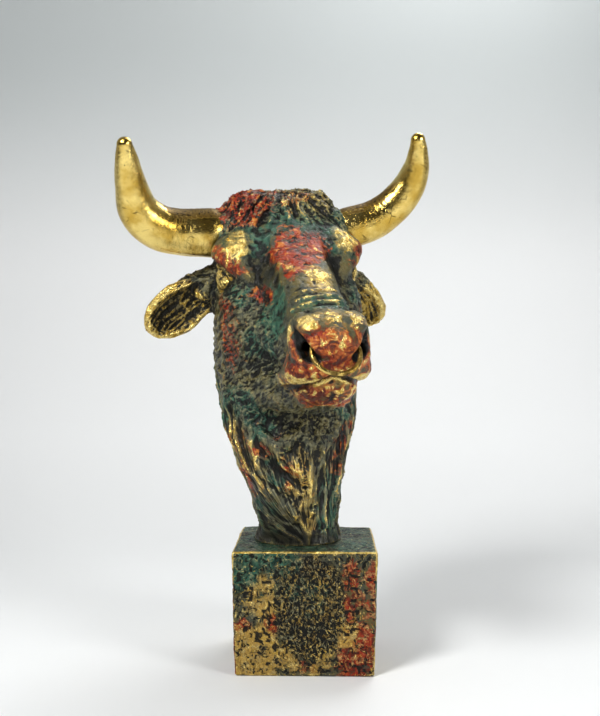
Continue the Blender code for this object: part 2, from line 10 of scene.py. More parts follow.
import bpy
import numpy as np
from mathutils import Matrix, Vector


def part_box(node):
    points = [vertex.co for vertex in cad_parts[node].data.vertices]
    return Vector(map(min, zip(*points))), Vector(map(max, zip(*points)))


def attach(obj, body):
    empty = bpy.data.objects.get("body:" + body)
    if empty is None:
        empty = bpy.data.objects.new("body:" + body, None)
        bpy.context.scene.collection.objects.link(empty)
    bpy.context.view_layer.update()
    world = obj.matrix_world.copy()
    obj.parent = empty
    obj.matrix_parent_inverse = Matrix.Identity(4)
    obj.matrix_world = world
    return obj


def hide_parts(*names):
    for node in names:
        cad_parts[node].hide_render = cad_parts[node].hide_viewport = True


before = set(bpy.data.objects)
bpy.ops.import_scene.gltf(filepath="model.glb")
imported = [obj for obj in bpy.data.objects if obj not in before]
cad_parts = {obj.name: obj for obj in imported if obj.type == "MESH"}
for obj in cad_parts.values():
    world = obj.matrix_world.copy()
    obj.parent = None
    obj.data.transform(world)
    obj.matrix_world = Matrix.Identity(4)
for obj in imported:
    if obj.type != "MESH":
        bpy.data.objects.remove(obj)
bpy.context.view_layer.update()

# Sizes that the CAD model also states
HEAD_LENGTH = 0.215
HEAD_SINK = 0.056
HEAD_OFFSET = (-0.107, -0.073)
HEAD_YAW = math.radians(16.0)
HEAD_TILT = math.radians(27.0)
HEAD_ROLL = math.radians(4.0)
NECK_HEIGHT = 0.245
NECK_WIDTH = 0.109
RING_DIAMETER = 0.0345
RING_WIRE = 0.0034
FIT_GAP = 0.0003
HORN_SEAT = 0.012

PLINTH_LOW, PLINTH_HIGH = (np.array(corner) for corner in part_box("plinth"))
PLINTH_HEIGHT = PLINTH_HIGH[2]
PLINTH_MIDDLE, PLINTH_HALF = 0.5 * (PLINTH_LOW + PLINTH_HIGH), 0.5 * (PLINTH_HIGH - PLINTH_LOW)
# Half of what each side of the plinth leans in from top to foot, and the radius of its edges
PLINTH_LEAN = 0.0012
PLINTH_EDGE = 0.0022
MILLIMETRE = 0.001

# Cells and triangles of the fine skins
CAST_CELL = 0.00095
CAST_TRIANGLES = 195_000
PLINTH_CELL = 0.00090
PLINTH_TRIANGLES = 190_000


def head_axes():
    """The head's three axes in the part's frame, one in each row."""
    sin, cos = math.sin, math.cos
    ahead = np.array([sin(HEAD_YAW) * cos(HEAD_TILT), -cos(HEAD_YAW) * cos(HEAD_TILT), -sin(HEAD_TILT)])
    level = np.array([cos(HEAD_YAW), sin(HEAD_YAW), 0.0])
    crown = np.cross(ahead, level)
    left = level * cos(HEAD_ROLL) + crown * sin(HEAD_ROLL)
    return np.stack([ahead, left, np.cross(ahead, left)])


AXES = head_axes()
# The head hangs from the top of the neck; its offset is in shares of the neck's width
HEAD_PLACE = np.append(np.multiply(HEAD_OFFSET, NECK_WIDTH), PLINTH_HEIGHT + NECK_HEIGHT - HEAD_SINK)


def to_head(points):
    return (points - HEAD_PLACE) @ AXES.T / HEAD_LENGTH


def from_head(shares):
    return HEAD_PLACE + HEAD_LENGTH * (np.asarray(shares, float) @ AXES)


def mirrored(p):
    """The points with those on the right of the middle moved over to the left."""
    m = p.copy()
    m[:, 1] = np.abs(p[:, 1])
    return m


# Horns: a row is a place on the head and the horn's radius there, all as shares of the head's length

HORNS = {
    "horn_right": [
        (-0.200, -0.250, 0.141, 0.087),
        (-0.200, -0.367, 0.150, 0.081),
        (-0.195, -0.440, 0.173, 0.0785),
        (-0.190, -0.500, 0.233, 0.071),
        (-0.180, -0.525, 0.325, 0.055),
        (-0.165, -0.537, 0.415, 0.040),
        (-0.155, -0.543, 0.473, 0.026),
    ],
    "horn_left": [
        (-0.200, 0.255, 0.142, 0.075),
        (-0.200, 0.345, 0.168, 0.072),
        (-0.200, 0.418, 0.219, 0.066),
        (-0.195, 0.470, 0.290, 0.059),
        (-0.185, 0.489, 0.365, 0.047),
        (-0.175, 0.487, 0.430, 0.034),
        (-0.170, 0.480, 0.471, 0.026),
    ],
}
# How far back from its root each horn's collar ends, as a share of the first row's step
HORN_COLLARS = {"horn_right": 0.55, "horn_left": 0.9}


# Distances to simple masses, negative inside, and how masses run together. Points come in compact
# patches, so a mass whose box lies far from the patch gives one rough distance for all of it.


def join(a, b, blend):
    if np.min(b - a) >= blend:
        return a
    h = np.clip(0.5 + 0.5 * (b - a) / blend, 0.0, 1.0)
    return b + (a - b) * h - blend * h * (1.0 - h)


def cut(a, b, blend):
    return -join(-a, b, blend)


def joined(d, *masses):
    """d with each mass joined to it in turn; a mass comes with its blend."""
    for mass, blend in masses:
        d = join(d, mass, blend)
    return d


def apart(p, low, high):
    """How far the box round the points lies from the box between low and high."""
    return float(np.linalg.norm(np.maximum(0, np.maximum(low - p.max(axis=0), p.min(axis=0) - high))))


def ellipsoid(p, centre, radii, turn=0.0, near=0.12):
    """turn, in degrees, raises its forward end in the plane of the first and third axes."""
    centre, radii = np.asarray(centre, float), np.asarray(radii, float)
    gap = apart(p, centre - radii.max(), centre + radii.max())
    if gap > near:
        return np.full(len(p), gap)
    q = p - centre
    c, s = math.cos(math.radians(turn)), math.sin(math.radians(turn))
    q = np.stack([c * q[:, 0] + s * q[:, 2], q[:, 1], c * q[:, 2] - s * q[:, 0]], axis=1)
    reach = np.linalg.norm(q / radii, axis=1)
    steep = np.linalg.norm(q / radii**2, axis=1)
    return reach * (reach - 1.0) / np.maximum(steep, 1e-9)


def curve_through(rows, steps):
    """A smooth curve through rows of any number of columns."""
    rows = np.asarray(rows, float)
    rows = np.vstack([2 * rows[0] - rows[1], rows, 2 * rows[-1] - rows[-2]])
    t = np.linspace(0, 1, steps, endpoint=False)[:, None]
    parts = [
        0.5 * (2 * b + (c - a) * t + (2 * a - 5 * b + 4 * c - d) * t**2 + (3 * b - a - 3 * c + d) * t**3)
        for a, b, c, d in zip(rows, rows[1:], rows[2:], rows[3:])
    ]
    return np.vstack([*parts, rows[-2]])


def tube(p, rows, steps=5, near=0.045):
    """A tube along a smooth curve; a row is its x, y, z and radius."""
    line = curve_through(rows, steps)
    low = (line[:, :3] - line[:, 3:]).min(axis=0)
    high = (line[:, :3] + line[:, 3:]).max(axis=0)
    gap = apart(p, low, high)
    if gap > near:
        return np.full(len(p), gap)
    distance = np.linalg.norm(np.maximum(0, np.maximum(low - p, p - high)), axis=1)
    close = distance < near
    q = p[close]
    best = np.full(len(q), np.inf)
    for a, b in zip(line[:-1], line[1:]):
        along = b[:3] - a[:3]
        t = np.clip((q - a[:3]) @ along / max(along @ along, 1e-12), 0, 1)
        off = np.linalg.norm(q - a[:3] - t[:, None] * along, axis=1)
        np.minimum(best, off - (a[3] + (b[3] - a[3]) * t), out=best)
    distance[close] = best
    return distance


def bar(p, start, end, first, last, square):
    """A tapering bar; first and last are half widths and half heights, and square fills its corners."""
    start, along = np.asarray(start, float), np.subtract(end, start).astype(float)
    t = np.clip((p - start) @ along / (along @ along), 0, 1)[:, None]
    q = p - start - t * along
    half = np.asarray(first, float) * (1 - t) + np.asarray(last, float) * t
    short = half.min(axis=1)
    reach = ((np.abs(q[:, 1:]) / half) ** square).sum(axis=1) ** (1 / square)
    return (np.sqrt(reach**2 + (q[:, 0] / short) ** 2) - 1) * short


# The head; m is the points mirrored to the left half, so each side is written once


def skull(m):
    cranium = ellipsoid(m, (-0.13, 0, 0.03), (0.22, 0.215, 0.205), near=9.0)
    bridge = bar(m, (-0.08, 0, 0.085), (0.26, 0, 0.070), (0.165, 0.125), (0.094, 0.090), 2.8)
    nose = bar(m, (0.26, 0, 0.070), (0.50, 0, 0.050), (0.094, 0.090), (0.086, 0.080), 2.8)
    face = bar(m, (0.06, 0, -0.06), (0.46, 0, -0.02), (0.20, 0.15), (0.100, 0.105), 2.2)
    socket = tube(m, [(-0.20, 0.10, 0.13, 0.100), (-0.20, 0.165, 0.134, 0.090)], 2, 0.12)
    return joined(cranium, (bridge, 0.05), (nose, 0.02), (face, 0.05), (socket, 0.05))


def horn_collars(p, d):
    """A low rim of skin round the root of each horn."""
    for name, rows in HORNS.items():
        root, onward = np.array(rows[0]), np.array(rows[1]) - rows[0]
        start, end = root - 1.5 * onward, root - HORN_COLLARS[name] * onward
        start[3] = end[3] = root[3] + 0.008
        d = join(d, tube(p, [start, end], 2), 0.020)
    return d


def jaws(m, d):
    cheek = ellipsoid(m, (0.02, 0.150, -0.15), (0.19, 0.102, 0.22), -12)
    throat = ellipsoid(m, (0.12, 0, -0.18), (0.30, 0.13, 0.11), -14)
    jaw = [
        (-0.02, 0.150, -0.30, 0.075), (0.14, 0.130, -0.30, 0.075),
        (0.34, 0.080, -0.215, 0.060), (0.50, 0.045, -0.14, 0.050),
    ]
    bone = [(-0.02, 0.190, -0.010, 0.036), (0.12, 0.156, -0.020, 0.030), (0.27, 0.118, -0.040, 0.020)]
    jaw, bone = tube(m, jaw, near=0.12), tube(m, bone, near=0.12)
    return joined(d, (cheek, 0.06), (jaw, 0.05), (throat, 0.06), (bone, 0.06))


EYE_CENTRE, EYE_RADII = (-0.048, 0.206, 0.030), (0.050, 0.048, 0.047)
UPPER_LID = [
    (-0.105, 0.224, 0.020, 0.008), (-0.072, 0.239, 0.068, 0.009),
    (-0.020, 0.230, 0.077, 0.009), (0.022, 0.200, 0.042, 0.008),
]
LOWER_LID = [
    (-0.105, 0.224, 0.020, 0.008), (-0.068, 0.235, -0.014, 0.009),
    (-0.016, 0.225, -0.012, 0.009), (0.026, 0.197, 0.030, 0.007),
]
# How softly the eyeball and lids run together
LID_BLEND = 0.006


def brow_and_eye(m, d):
    swelling = ellipsoid(m, (-0.070, 0.160, 0.112), (0.120, 0.084, 0.070), 18)
    valley = [
        (-0.10, 0.118, 0.245, 0.014), (-0.02, 0.126, 0.214, 0.016),
        (0.05, 0.132, 0.176, 0.016), (0.13, 0.138, 0.140, 0.014),
    ]
    hollow = [(0.09, 0.118, 0.160, 0.010), (0.16, 0.112, 0.140, 0.017), (0.25, 0.116, 0.115, 0.010)]
    socket = ellipsoid(m, (-0.035, 0.272, 0.028), (0.078, 0.050, 0.046), 14)
    ridge = [
        (-0.130, 0.218, 0.090, 0.022), (-0.075, 0.240, 0.114, 0.026), (-0.010, 0.222, 0.116, 0.026),
        (0.045, 0.188, 0.102, 0.022), (0.085, 0.164, 0.084, 0.014),
    ]
    bag = [(-0.085, 0.230, -0.044, 0.008), (-0.020, 0.222, -0.046, 0.009), (0.040, 0.190, -0.016, 0.008)]
    d = cut(cut(join(d, swelling, 0.065), tube(m, valley), 0.050), tube(m, hollow), 0.030)
    d = join(cut(d, socket, 0.025), tube(m, ridge), 0.035)
    lids = [(tube(m, lid), LID_BLEND) for lid in (UPPER_LID, LOWER_LID)]
    return joined(d, (ellipsoid(m, EYE_CENTRE, EYE_RADII), LID_BLEND), *lids, (tube(m, bag), 0.024))


def muzzle(m, d):
    snout = ellipsoid(m, (0.53, 0, 0.045), (0.100, 0.114, 0.098))
    lip = ellipsoid(m, (0.530, 0.048, -0.022), (0.098, 0.080, 0.068), 28)
    lip_edge = [
        (0.612, 0.000, 0.026, 0.026), (0.588, 0.060, 0.000, 0.030), (0.545, 0.094, -0.036, 0.034),
        (0.480, 0.104, -0.080, 0.034), (0.420, 0.106, -0.125, 0.028),
    ]
    chin = ellipsoid(m, (0.520, 0, -0.092), (0.082, 0.104, 0.074), 18)
    pad = bar(m, (0.540, 0, 0.076), (0.580, 0, 0.064), (0.104, 0.066), (0.084, 0.056), 2.5)
    mouth = [
        (0.616, 0.000, -0.016, 0.013), (0.598, 0.052, -0.038, 0.013), (0.558, 0.092, -0.076, 0.013),
        (0.497, 0.118, -0.120, 0.012), (0.436, 0.130, -0.160, 0.008),
    ]
    cleft = [(0.618, 0, -0.040, 0.005), (0.620, 0, -0.075, 0.009), (0.605, 0, -0.110, 0.005)]
    d = joined(d, (snout, 0.035), (lip, 0.030), (tube(m, lip_edge), 0.025), (chin, 0.012))
    return join(cut(cut(d, tube(m, mouth), 0.010), tube(m, cleft), 0.010), pad, 0.014)


NOSTRIL_WING = [
    (0.490, 0.084, 0.120, 0.010), (0.508, 0.104, 0.106, 0.014), (0.528, 0.110, 0.066, 0.015),
    (0.562, 0.102, 0.032, 0.015), (0.600, 0.070, 0.020, 0.011),
]
NOSTRIL = [
    (0.535, 0.100, 0.116, 0.007), (0.548, 0.102, 0.102, 0.011), (0.565, 0.101, 0.082, 0.016),
    (0.594, 0.089, 0.058, 0.021), (0.624, 0.064, 0.044, 0.014),
]


def pad_corner(m):
    """The end of the nose pad that hangs over the nostril."""
    return ellipsoid(m, (0.548, 0.073, 0.119), (0.042, 0.033, 0.021))


def nostrils(m, d):
    passage = tube(m, [(0.605, 0.085, 0.054, 0.019), (0.52, 0.060, 0.056, 0.018)], 2)
    d = cut(cut(join(d, tube(m, NOSTRIL_WING), 0.022), tube(m, NOSTRIL), 0.008), passage, 0.008)
    return join(d, pad_corner(m), 0.022)


def nose_wrinkles(m, d, count=4, first=0.350, spacing=0.038):
    for k in range(count):
        a, top = first + spacing * k, 0.139 - 0.002 * k
        fold = [
            (a - 0.02, 0.085, top - 0.032, 0.007),
            (a + 0.008, 0.05, top - 0.003, 0.010),
            (a + 0.012, 0, top + 0.003, 0.010),
        ]
        d = join(d, tube(m, fold), 0.006)
    return d


def poll_cap(p):
    """The mass of hair over the poll, broad and flat on top."""
    sides = ellipsoid(mirrored(p), (-0.205, 0.110, 0.100), (0.150, 0.128, 0.166))
    return join(sides, ellipsoid(p, (-0.205, 0, 0.100), (0.150, 0.125, 0.168)), 0.04)


def lock_rows(count=11, spread=84.0):
    """Locks that fan from the middle of the crown, each dropped onto the skin."""
    locks = []
    for k in range(count):
        turn = math.radians(-spread + 2 * spread * k / (count - 1))
        rows = []
        for reach, radius in ((0.02, 0.016), (0.10, 0.022), (0.17, 0.020), (0.235, 0.007)):
            reach *= 1 - 0.08 * abs(math.sin(turn))
            place = np.array([[-0.25 + 0.9 * reach * math.cos(turn), reach * math.sin(turn), 0.45]])
            for _ in range(30):
                gap = min(skull(mirrored(place))[0], poll_cap(place)[0])
                place[0, 2] -= 0.8 * gap
            rows.append((*place[0], radius))
        locks.append(rows)
    return locks


LOCKS = lock_rows()


def hair_locks(p, d):
    return join(d, np.minimum.reduce([tube(p, rows, 4) for rows in LOCKS]), 0.010)


# Ears: a cupped leaf on a stem; each side has its own tip and the way its cup faces

EAR_ROOT = (-0.165, 0.225, -0.020)
EARS = {
    -1: {"tip": (-0.15, -0.480, -0.215), "faces": (0.93, -0.30, -0.25)},
    1: {"tip": (-0.25, 0.397, -0.285), "faces": (0.80, -0.45, 0.00)},
}


def ear_frame(side):
    """An ear's root, the way and length from there to its tip, and its axes, one in each row."""
    root = np.array(EAR_ROOT) * (1, side, 1)
    along = np.array(EARS[side]["tip"]) - root
    length = np.linalg.norm(along)
    x = along / length
    z = np.array(EARS[side]["faces"])
    z = z - (z @ x) * x
    z /= np.linalg.norm(z)
    return root, along, length, np.stack([x, np.cross(z, x), z])


def ear(p, side):
    root, along, length, turn = ear_frame(side)
    q = (p - root) @ turn.T
    leaf = join(
        ellipsoid(q, (0.60 * length, 0, -0.010), (0.42 * length, 0.096, 0.042)),
        ellipsoid(q, (0.30 * length, 0, -0.012), (0.34 * length, 0.082, 0.045)),
        0.02,
    )
    cup = join(
        ellipsoid(q, (0.58 * length, 0, 0.032), (0.39 * length, 0.080, 0.052)),
        ellipsoid(q, (0.34 * length, 0, 0.032), (0.28 * length, 0.056, 0.048)),
        0.02,
    )
    d = cut(leaf, cup, 0.010)
    for y in (-0.03, 0.0, 0.03):
        rib = [
            (0.25 * length, 0.6 * y, -0.022, 0.006),
            (0.55 * length, y, -0.028, 0.008),
            (0.80 * length, 0.9 * y, -0.022, 0.005),
        ]
        d = join(d, tube(q, rib, 4), 0.010)
    stem = ((-0.15, 0.060), (0.05, 0.056), (0.22, 0.036))
    return join(d, tube(p, [(*(root + share * along), radius) for share, radius in stem], 3), 0.02)


def head(p):
    m = mirrored(p)
    d = skull(m)
    for feature in (jaws, brow_and_eye, muzzle, nostrils, nose_wrinkles):
        d = feature(m, d)
    d = horn_collars(p, join(d, poll_cap(p), 0.025))
    d = hair_locks(p, d)
    for side in EARS:
        d = join(d, ear(p, side), 0.025)
    return d


# Neck: a row is a share of its height, then its middle in x and y and its half width and half depth as
# shares of its width

NECK = np.array(
    [
        (0.000, -0.055, 0.037, 0.303, 0.339),
        (0.045, -0.060, 0.037, 0.275, 0.312),
        (0.147, -0.083, 0.064, 0.312, 0.330),
        (0.249, -0.115, 0.110, 0.376, 0.385),
        (0.371, -0.124, 0.174, 0.459, 0.468),
        (0.514, -0.151, 0.239, 0.500, 0.532),
        (0.657, -0.165, 0.275, 0.500, 0.550),
        (0.820, -0.170, 0.294, 0.468, 0.514),
        (0.920, -0.156, 0.275, 0.330, 0.385),
    ]
)
NECK_SQUARE = 2.3

# Folds of the neck: a row is degrees round from the front, to the bull's left, and a share of height
FOLDS = [
    [(-52, 0.490), (-62, 0.371), (-50, 0.269), (-33, 0.163), (-4, 0.073)],
    [(-38, 0.424), (-33, 0.343), (-33, 0.253), (-19, 0.192), (8, 0.151)],
    [(-31, 0.359), (-20, 0.314), (-9, 0.273), (11, 0.220), (15, 0.184)],
    [(-17, 0.306), (-6, 0.298), (9, 0.331), (13, 0.359)],
    [(17, 0.400), (19, 0.302), (23, 0.212), (25, 0.131)],
    [(34, 0.392), (30, 0.339), (22, 0.265)],
    [(42, 0.392), (43, 0.347), (34, 0.302), (28, 0.253)],
    [(50, 0.404), (66, 0.355), (62, 0.306), (59, 0.245), (62, 0.176), (70, 0.102)],
    [(-30, 0.184), (-15, 0.131), (2, 0.090)],
    [(-46, 0.118), (-34, 0.078)],
]
# Shares of the neck's width: a fold's radius at its ends and between them, how far its middle line
# lies under the skin, and how softly it runs into the neck
FOLD_END, FOLD_RADIUS, FOLD_SINK, FOLD_BLEND = 0.0275, 0.046, 0.0165, 0.0275
# The hollow at the throat: degrees and share of height, then radii and blend as shares of the width
HOLLOW, HOLLOW_RADII, HOLLOW_BLEND = (-10, 0.355), (0.119, 0.092, 0.128), 0.073
# How softly the head runs into the neck, as a share of the head's length
HEAD_BLEND = 0.037


def neck_at(height):
    """Middle and half sizes of the neck, in metres, at a share of its height."""
    return [NECK_WIDTH * np.interp(height, NECK[:, 0], NECK[:, k]) for k in range(1, 5)]


def on_neck(degrees, height, sink=0.0):
    """A point on the neck's skin, or under it by a share of the neck's width."""
    x, y, half_width, half_depth = neck_at(height)
    s, c = math.sin(math.radians(degrees)), math.cos(math.radians(degrees))
    reach = abs(s / half_width) ** NECK_SQUARE + abs(c / half_depth) ** NECK_SQUARE
    out = reach ** (-1 / NECK_SQUARE) - sink * NECK_WIDTH
    return (x + s * out, y - c * out, PLINTH_HEIGHT + height * NECK_HEIGHT)


def round_neck(w):
    """Each point's share of the neck's height, degrees round from the front, and way from its middle."""
    height = (w[:, 2] - PLINTH_HEIGHT) / NECK_HEIGHT
    x, y, _, _ = neck_at(height)
    out = np.stack([w[:, 0] - x, w[:, 1] - y, 0 * x], 1)
    return height, np.degrees(np.arctan2(out[:, 0], -out[:, 1])), out


def neck_column(w):
    height = (w[:, 2] - PLINTH_HEIGHT) / NECK_HEIGHT
    x, y, half_width, half_depth = neck_at(height)
    short = np.minimum(half_width, half_depth)
    across = np.abs((w[:, 0] - x) / half_width) ** NECK_SQUARE
    across += np.abs((w[:, 1] - y) / half_depth) ** NECK_SQUARE
    above = np.maximum(0, height - NECK[-1, 0]) * NECK_HEIGHT / short
    return (np.sqrt(across ** (2 / NECK_SQUARE) + above**2) - 1) * 0.95 * short


def back_folds():
    """Long folds down the sides and the back of the neck, in keeping with those in front."""
    for k, degrees in enumerate(range(92, 262, 24)):
        lean = 14 * math.sin(1.7 * k)
        foot = 0.10 + 0.04 * math.cos(2.3 * k)
        yield [(degrees + lean * (1 - 2 * t), foot + 0.50 * t) for t in (0, 0.35, 0.7, 1)]


def neck(w):
    hollow = ellipsoid(w, on_neck(*HOLLOW, sink=-0.055), np.multiply(HOLLOW_RADII, NECK_WIDTH))
    d = cut(neck_column(w), hollow, HOLLOW_BLEND * NECK_WIDTH)
    for fold in [*FOLDS, *back_folds()]:
        radii = [FOLD_END, *[FOLD_RADIUS] * (len(fold) - 2), FOLD_END]
        rows = [(*on_neck(*at, sink=FOLD_SINK), radius * NECK_WIDTH) for at, radius in zip(fold, radii)]
        d = join(d, tube(w, rows, near=0.18 * NECK_WIDTH), FOLD_BLEND * NECK_WIDTH)
    return d


def casting(w):
    """The whole casting: head, ears and neck, cut flat where it sits on the plinth."""
    d = join(head(to_head(w)) * HEAD_LENGTH, neck(w), HEAD_BLEND * HEAD_LENGTH)
    return np.maximum(d, PLINTH_HEIGHT + FIT_GAP - w[:, 2])


def block(w):
    """The plinth: a block a little wider at its top, with softened edges."""
    sides = np.array((1, 1, 0))
    lean = PLINTH_LEAN * (w[:, 2:] - PLINTH_MIDDLE[2]) / PLINTH_HALF[2] * sides - PLINTH_LEAN * sides
    q = np.abs(w - PLINTH_MIDDLE) - (PLINTH_HALF + lean) + PLINTH_EDGE
    return np.linalg.norm(np.maximum(q, 0), axis=1) + np.minimum(q.max(axis=1), 0) - PLINTH_EDGE


# The skin of a form: one point in each cell that the surface crosses, joined across crossed edges


def patchwise(form, points, size=5000, patch=0.03):
    """The form at many points, taken in compact patches."""
    key = np.floor((points - points.min(axis=0)) / patch).astype(np.int64)
    order = np.lexsort(key.T)
    value = np.empty(len(points))
    for start in range(0, len(points), size):
        rows = order[start : start + size]
        value[rows] = form(points[rows])
    return value


CORNERS = np.stack(np.meshgrid([0, 1], [0, 1], [0, 1], indexing="ij"), -1).reshape(-1, 3)


def crossed_cells(form, low, high, cell):
    """Cells near the surface, found from coarse blocks downward."""
    block_size = 16
    count = np.ceil((high - low) / cell / block_size).astype(int)
    cells = np.stack(np.meshgrid(*[np.arange(n) for n in count], indexing="ij"), -1).reshape(-1, 3)
    while block_size > 1:
        middle = low + (cells + 0.5) * block_size * cell
        cells = cells[np.abs(patchwise(form, middle)) < 1.6 * block_size * cell]
        block_size //= 2
        cells = (2 * cells[:, None] + CORNERS).reshape(-1, 3)
    return cells


def skin_of(form, low, high, cell):
    """The points and four-sided faces of the form's skin."""
    cells = crossed_cells(form, low, high, cell)
    span = cells.max(axis=0) + 3
    flat = lambda index: (index[..., 0] * span[1] + index[..., 1]) * span[2] + index[..., 2]
    every = cells[:, None] + CORNERS
    keys, where = np.unique(flat(every), return_inverse=True)
    spots = np.stack([keys // (span[1] * span[2]), keys // span[2] % span[1], keys % span[2]], 1)
    value = patchwise(form, low + spots * cell)
    at = value[where.reshape(len(cells), 8)]
    crossed = (at.min(axis=1) < 0) & (at.max(axis=1) >= 0)
    cells, at, every = cells[crossed], at[crossed], every[crossed]

    total, number = np.zeros((len(cells), 3)), np.zeros(len(cells))
    for i in range(8):
        for j in range(i + 1, 8):
            if np.abs(CORNERS[i] - CORNERS[j]).sum() != 1:
                continue
            hit = (at[:, i] < 0) != (at[:, j] < 0)
            t = at[hit, i] / (at[hit, i] - at[hit, j])
            total[hit] += every[hit, i] + t[:, None] * (every[hit, j] - every[hit, i])
            number[hit] += 1
    points = low + cell * total / number[:, None]

    order = np.argsort(flat(cells))
    sorted_keys = flat(cells)[order]
    find = lambda index: order[np.searchsorted(sorted_keys, flat(index))]
    faces = []
    for axis in range(3):
        step, side, other = np.eye(3, dtype=int)[[axis, (axis + 1) % 3, (axis + 2) % 3]]
        end = int(np.flatnonzero((CORNERS == step).all(axis=1))[0])
        hit = (at[:, 0] < 0) != (at[:, end] < 0)
        base = cells[hit]
        shifts = (-side - other, -other, 0 * side, -side)
        ring = np.stack([find(base + shift) for shift in shifts], 1)
        inside = at[hit, 0] < 0
        faces += [ring[inside], ring[~inside][:, ::-1]]
    return points, np.vstack(faces)


def settle(form, points, cell):
    """Moves each point along the slope onto the form, and gives the skin's facing there."""
    step, furthest = 0.15 * cell, 0.6 * cell
    value = patchwise(form, points)
    ahead = [patchwise(form, points + step * e) for e in np.eye(3)]
    slope = (np.stack(ahead, 1) - value[:, None]) / step
    size = np.maximum((slope**2).sum(axis=1), 0.25)[:, None]
    return points + np.clip(-value[:, None] * slope / size, -furthest, furthest), slope / np.sqrt(size)


# Noise that is the same each run


def lattice(cells, seed):
    """A fixed number from 0 to 1 for each cell of space."""
    h = cells[..., 0] * 73856093 ^ cells[..., 1] * 19349663 ^ cells[..., 2] * 83492791
    h ^= seed * 2654435761
    h = (h ^ (h >> 13)) * 1274126177 & 0x7FFFFFFF
    return ((h ^ (h >> 16)) & 0xFFFFF) / 0xFFFFF


def noise(points, size, seed=0):
    """Smooth noise from -1 to 1 with bumps of the given size."""
    q = points / size
    base = np.floor(q).astype(np.int64)
    f = q - base
    f = f * f * (3 - 2 * f)
    total = np.zeros(len(points))
    for corner in CORNERS:
        weight = np.prod(np.where(corner, f, 1 - f), axis=1)
        total += weight * lattice(base + corner, seed)
    return 2 * total - 1


def drift(points, size, seed):
    """A smooth way of its own at each point."""
    return np.stack([noise(points, size, seed + k) for k in range(3)], 1)


def streaks(points, way, size, length, seed=0, samples=4):
    """Noise smeared along a direction, as strokes of a given width and length."""
    total, weights = np.zeros(len(points)), 0.0
    for k in range(-samples, samples + 1):
        weight = math.cos(0.5 * math.pi * k / (samples + 1)) ** 2
        total += weight * noise(points + way * (k * 0.5 * length / samples), size, seed)
        weights += weight**2
    return np.clip(total / math.sqrt(weights) * 1.5, -1, 1)


def ridged(value):
    """Sharp crests out of smooth noise, from -1 to 1."""
    return 1 - 2 * np.sqrt(np.abs(value))


def smooth(value, low, high):
    t = np.clip((value - low) / (high - low), 0, 1)
    return t * t * (3 - 2 * t)


def spot(q, centre, radii, soft=0.6):
    """1 at the middle of a patch of skin, down to 0 outside it."""
    reach = np.linalg.norm((q - centre) / radii, axis=1)
    return 1 - smooth(reach, 1 - soft, 1 + soft)


def ranked(value):
    """Each value's place in the order of all of them, from 0 to 1."""
    place = np.empty(len(value))
    place[np.argsort(value, kind="stable")] = np.linspace(0, 1, len(value))
    return place


def unit(v):
    return v / np.maximum(np.linalg.norm(v, axis=1, keepdims=True), 1e-9)


# The lie of the hair. Each region has a frame of its own: across the strokes, along them, and through
# the skin, all in metres, with the way that the strokes run. The neck's middle line is in degrees round
# from the front, and its strokes draw together below a share of its height

NECK_CENTRE_LINE = 15.0
GATHER_HEIGHT = 0.2
# Radii at which an angle counts as a distance across the strokes: metres, and a share of the head
NECK_STROKE_RADIUS = 0.045
POLL_STROKE_RADIUS = 0.16
FAN_MIDDLE = np.array((-0.27, 0.0))


def neck_lie(w):
    """Strokes that run down and draw together at the foot of the throat; straight down behind."""
    height, degrees, out = round_neck(w)
    angle = degrees - NECK_CENTRE_LINE
    gather = np.tanh(np.maximum(height, 0.02) / GATHER_HEIGHT)
    free = np.maximum(smooth(angle, 0.0, 30.0), smooth(-angle, 85.0, 125.0))
    spread = np.radians(angle / (gather + (1 - gather) * free))
    narrowing = (1 - gather**2) / GATHER_HEIGHT * (1 - free)
    round_way = unit(np.stack([-out[:, 1], out[:, 0], 0 * height], 1))
    lean = -spread * narrowing * NECK_STROKE_RADIUS / NECK_HEIGHT
    way = np.array([0, 0, -1.0]) + np.clip(lean, -1.6, 1.6)[:, None] * round_way
    return np.stack([spread * NECK_STROKE_RADIUS, w[:, 2], np.linalg.norm(out, axis=1)], 1), unit(way)


def upper_face(q):
    """How much each point belongs to the forehead and the bridge, above the cheeks."""
    return smooth(q[:, 2] + 0.25 * q[:, 0], 0.05, 0.13)


def face_lie(q):
    """Strokes that run back and down over the cheeks, and along the bridge."""
    across, along = np.array((0.65, 0, -0.75)), np.array((-0.75, 0, -0.65))
    upper = upper_face(q)[:, None]
    way = (1 - upper) * along + upper * np.array((1.0, 0, -0.1))
    coords = HEAD_LENGTH * np.stack([q @ across, q @ along, q[:, 1]], 1)
    return coords, unit(way @ AXES)


def poll_lie(q):
    """Locks that fan from the middle of the crown."""
    from_middle = q[:, :2] - FAN_MIDDLE
    turn = np.arctan2(from_middle[:, 1], from_middle[:, 0])
    reach = np.linalg.norm(from_middle, axis=1)
    coords = HEAD_LENGTH * np.stack([turn * POLL_STROKE_RADIUS, reach, q[:, 2]], 1)
    way = unit(from_middle)
    return coords, unit(np.stack([way[:, 0], way[:, 1], -0.45 + 0 * turn], 1) @ AXES)


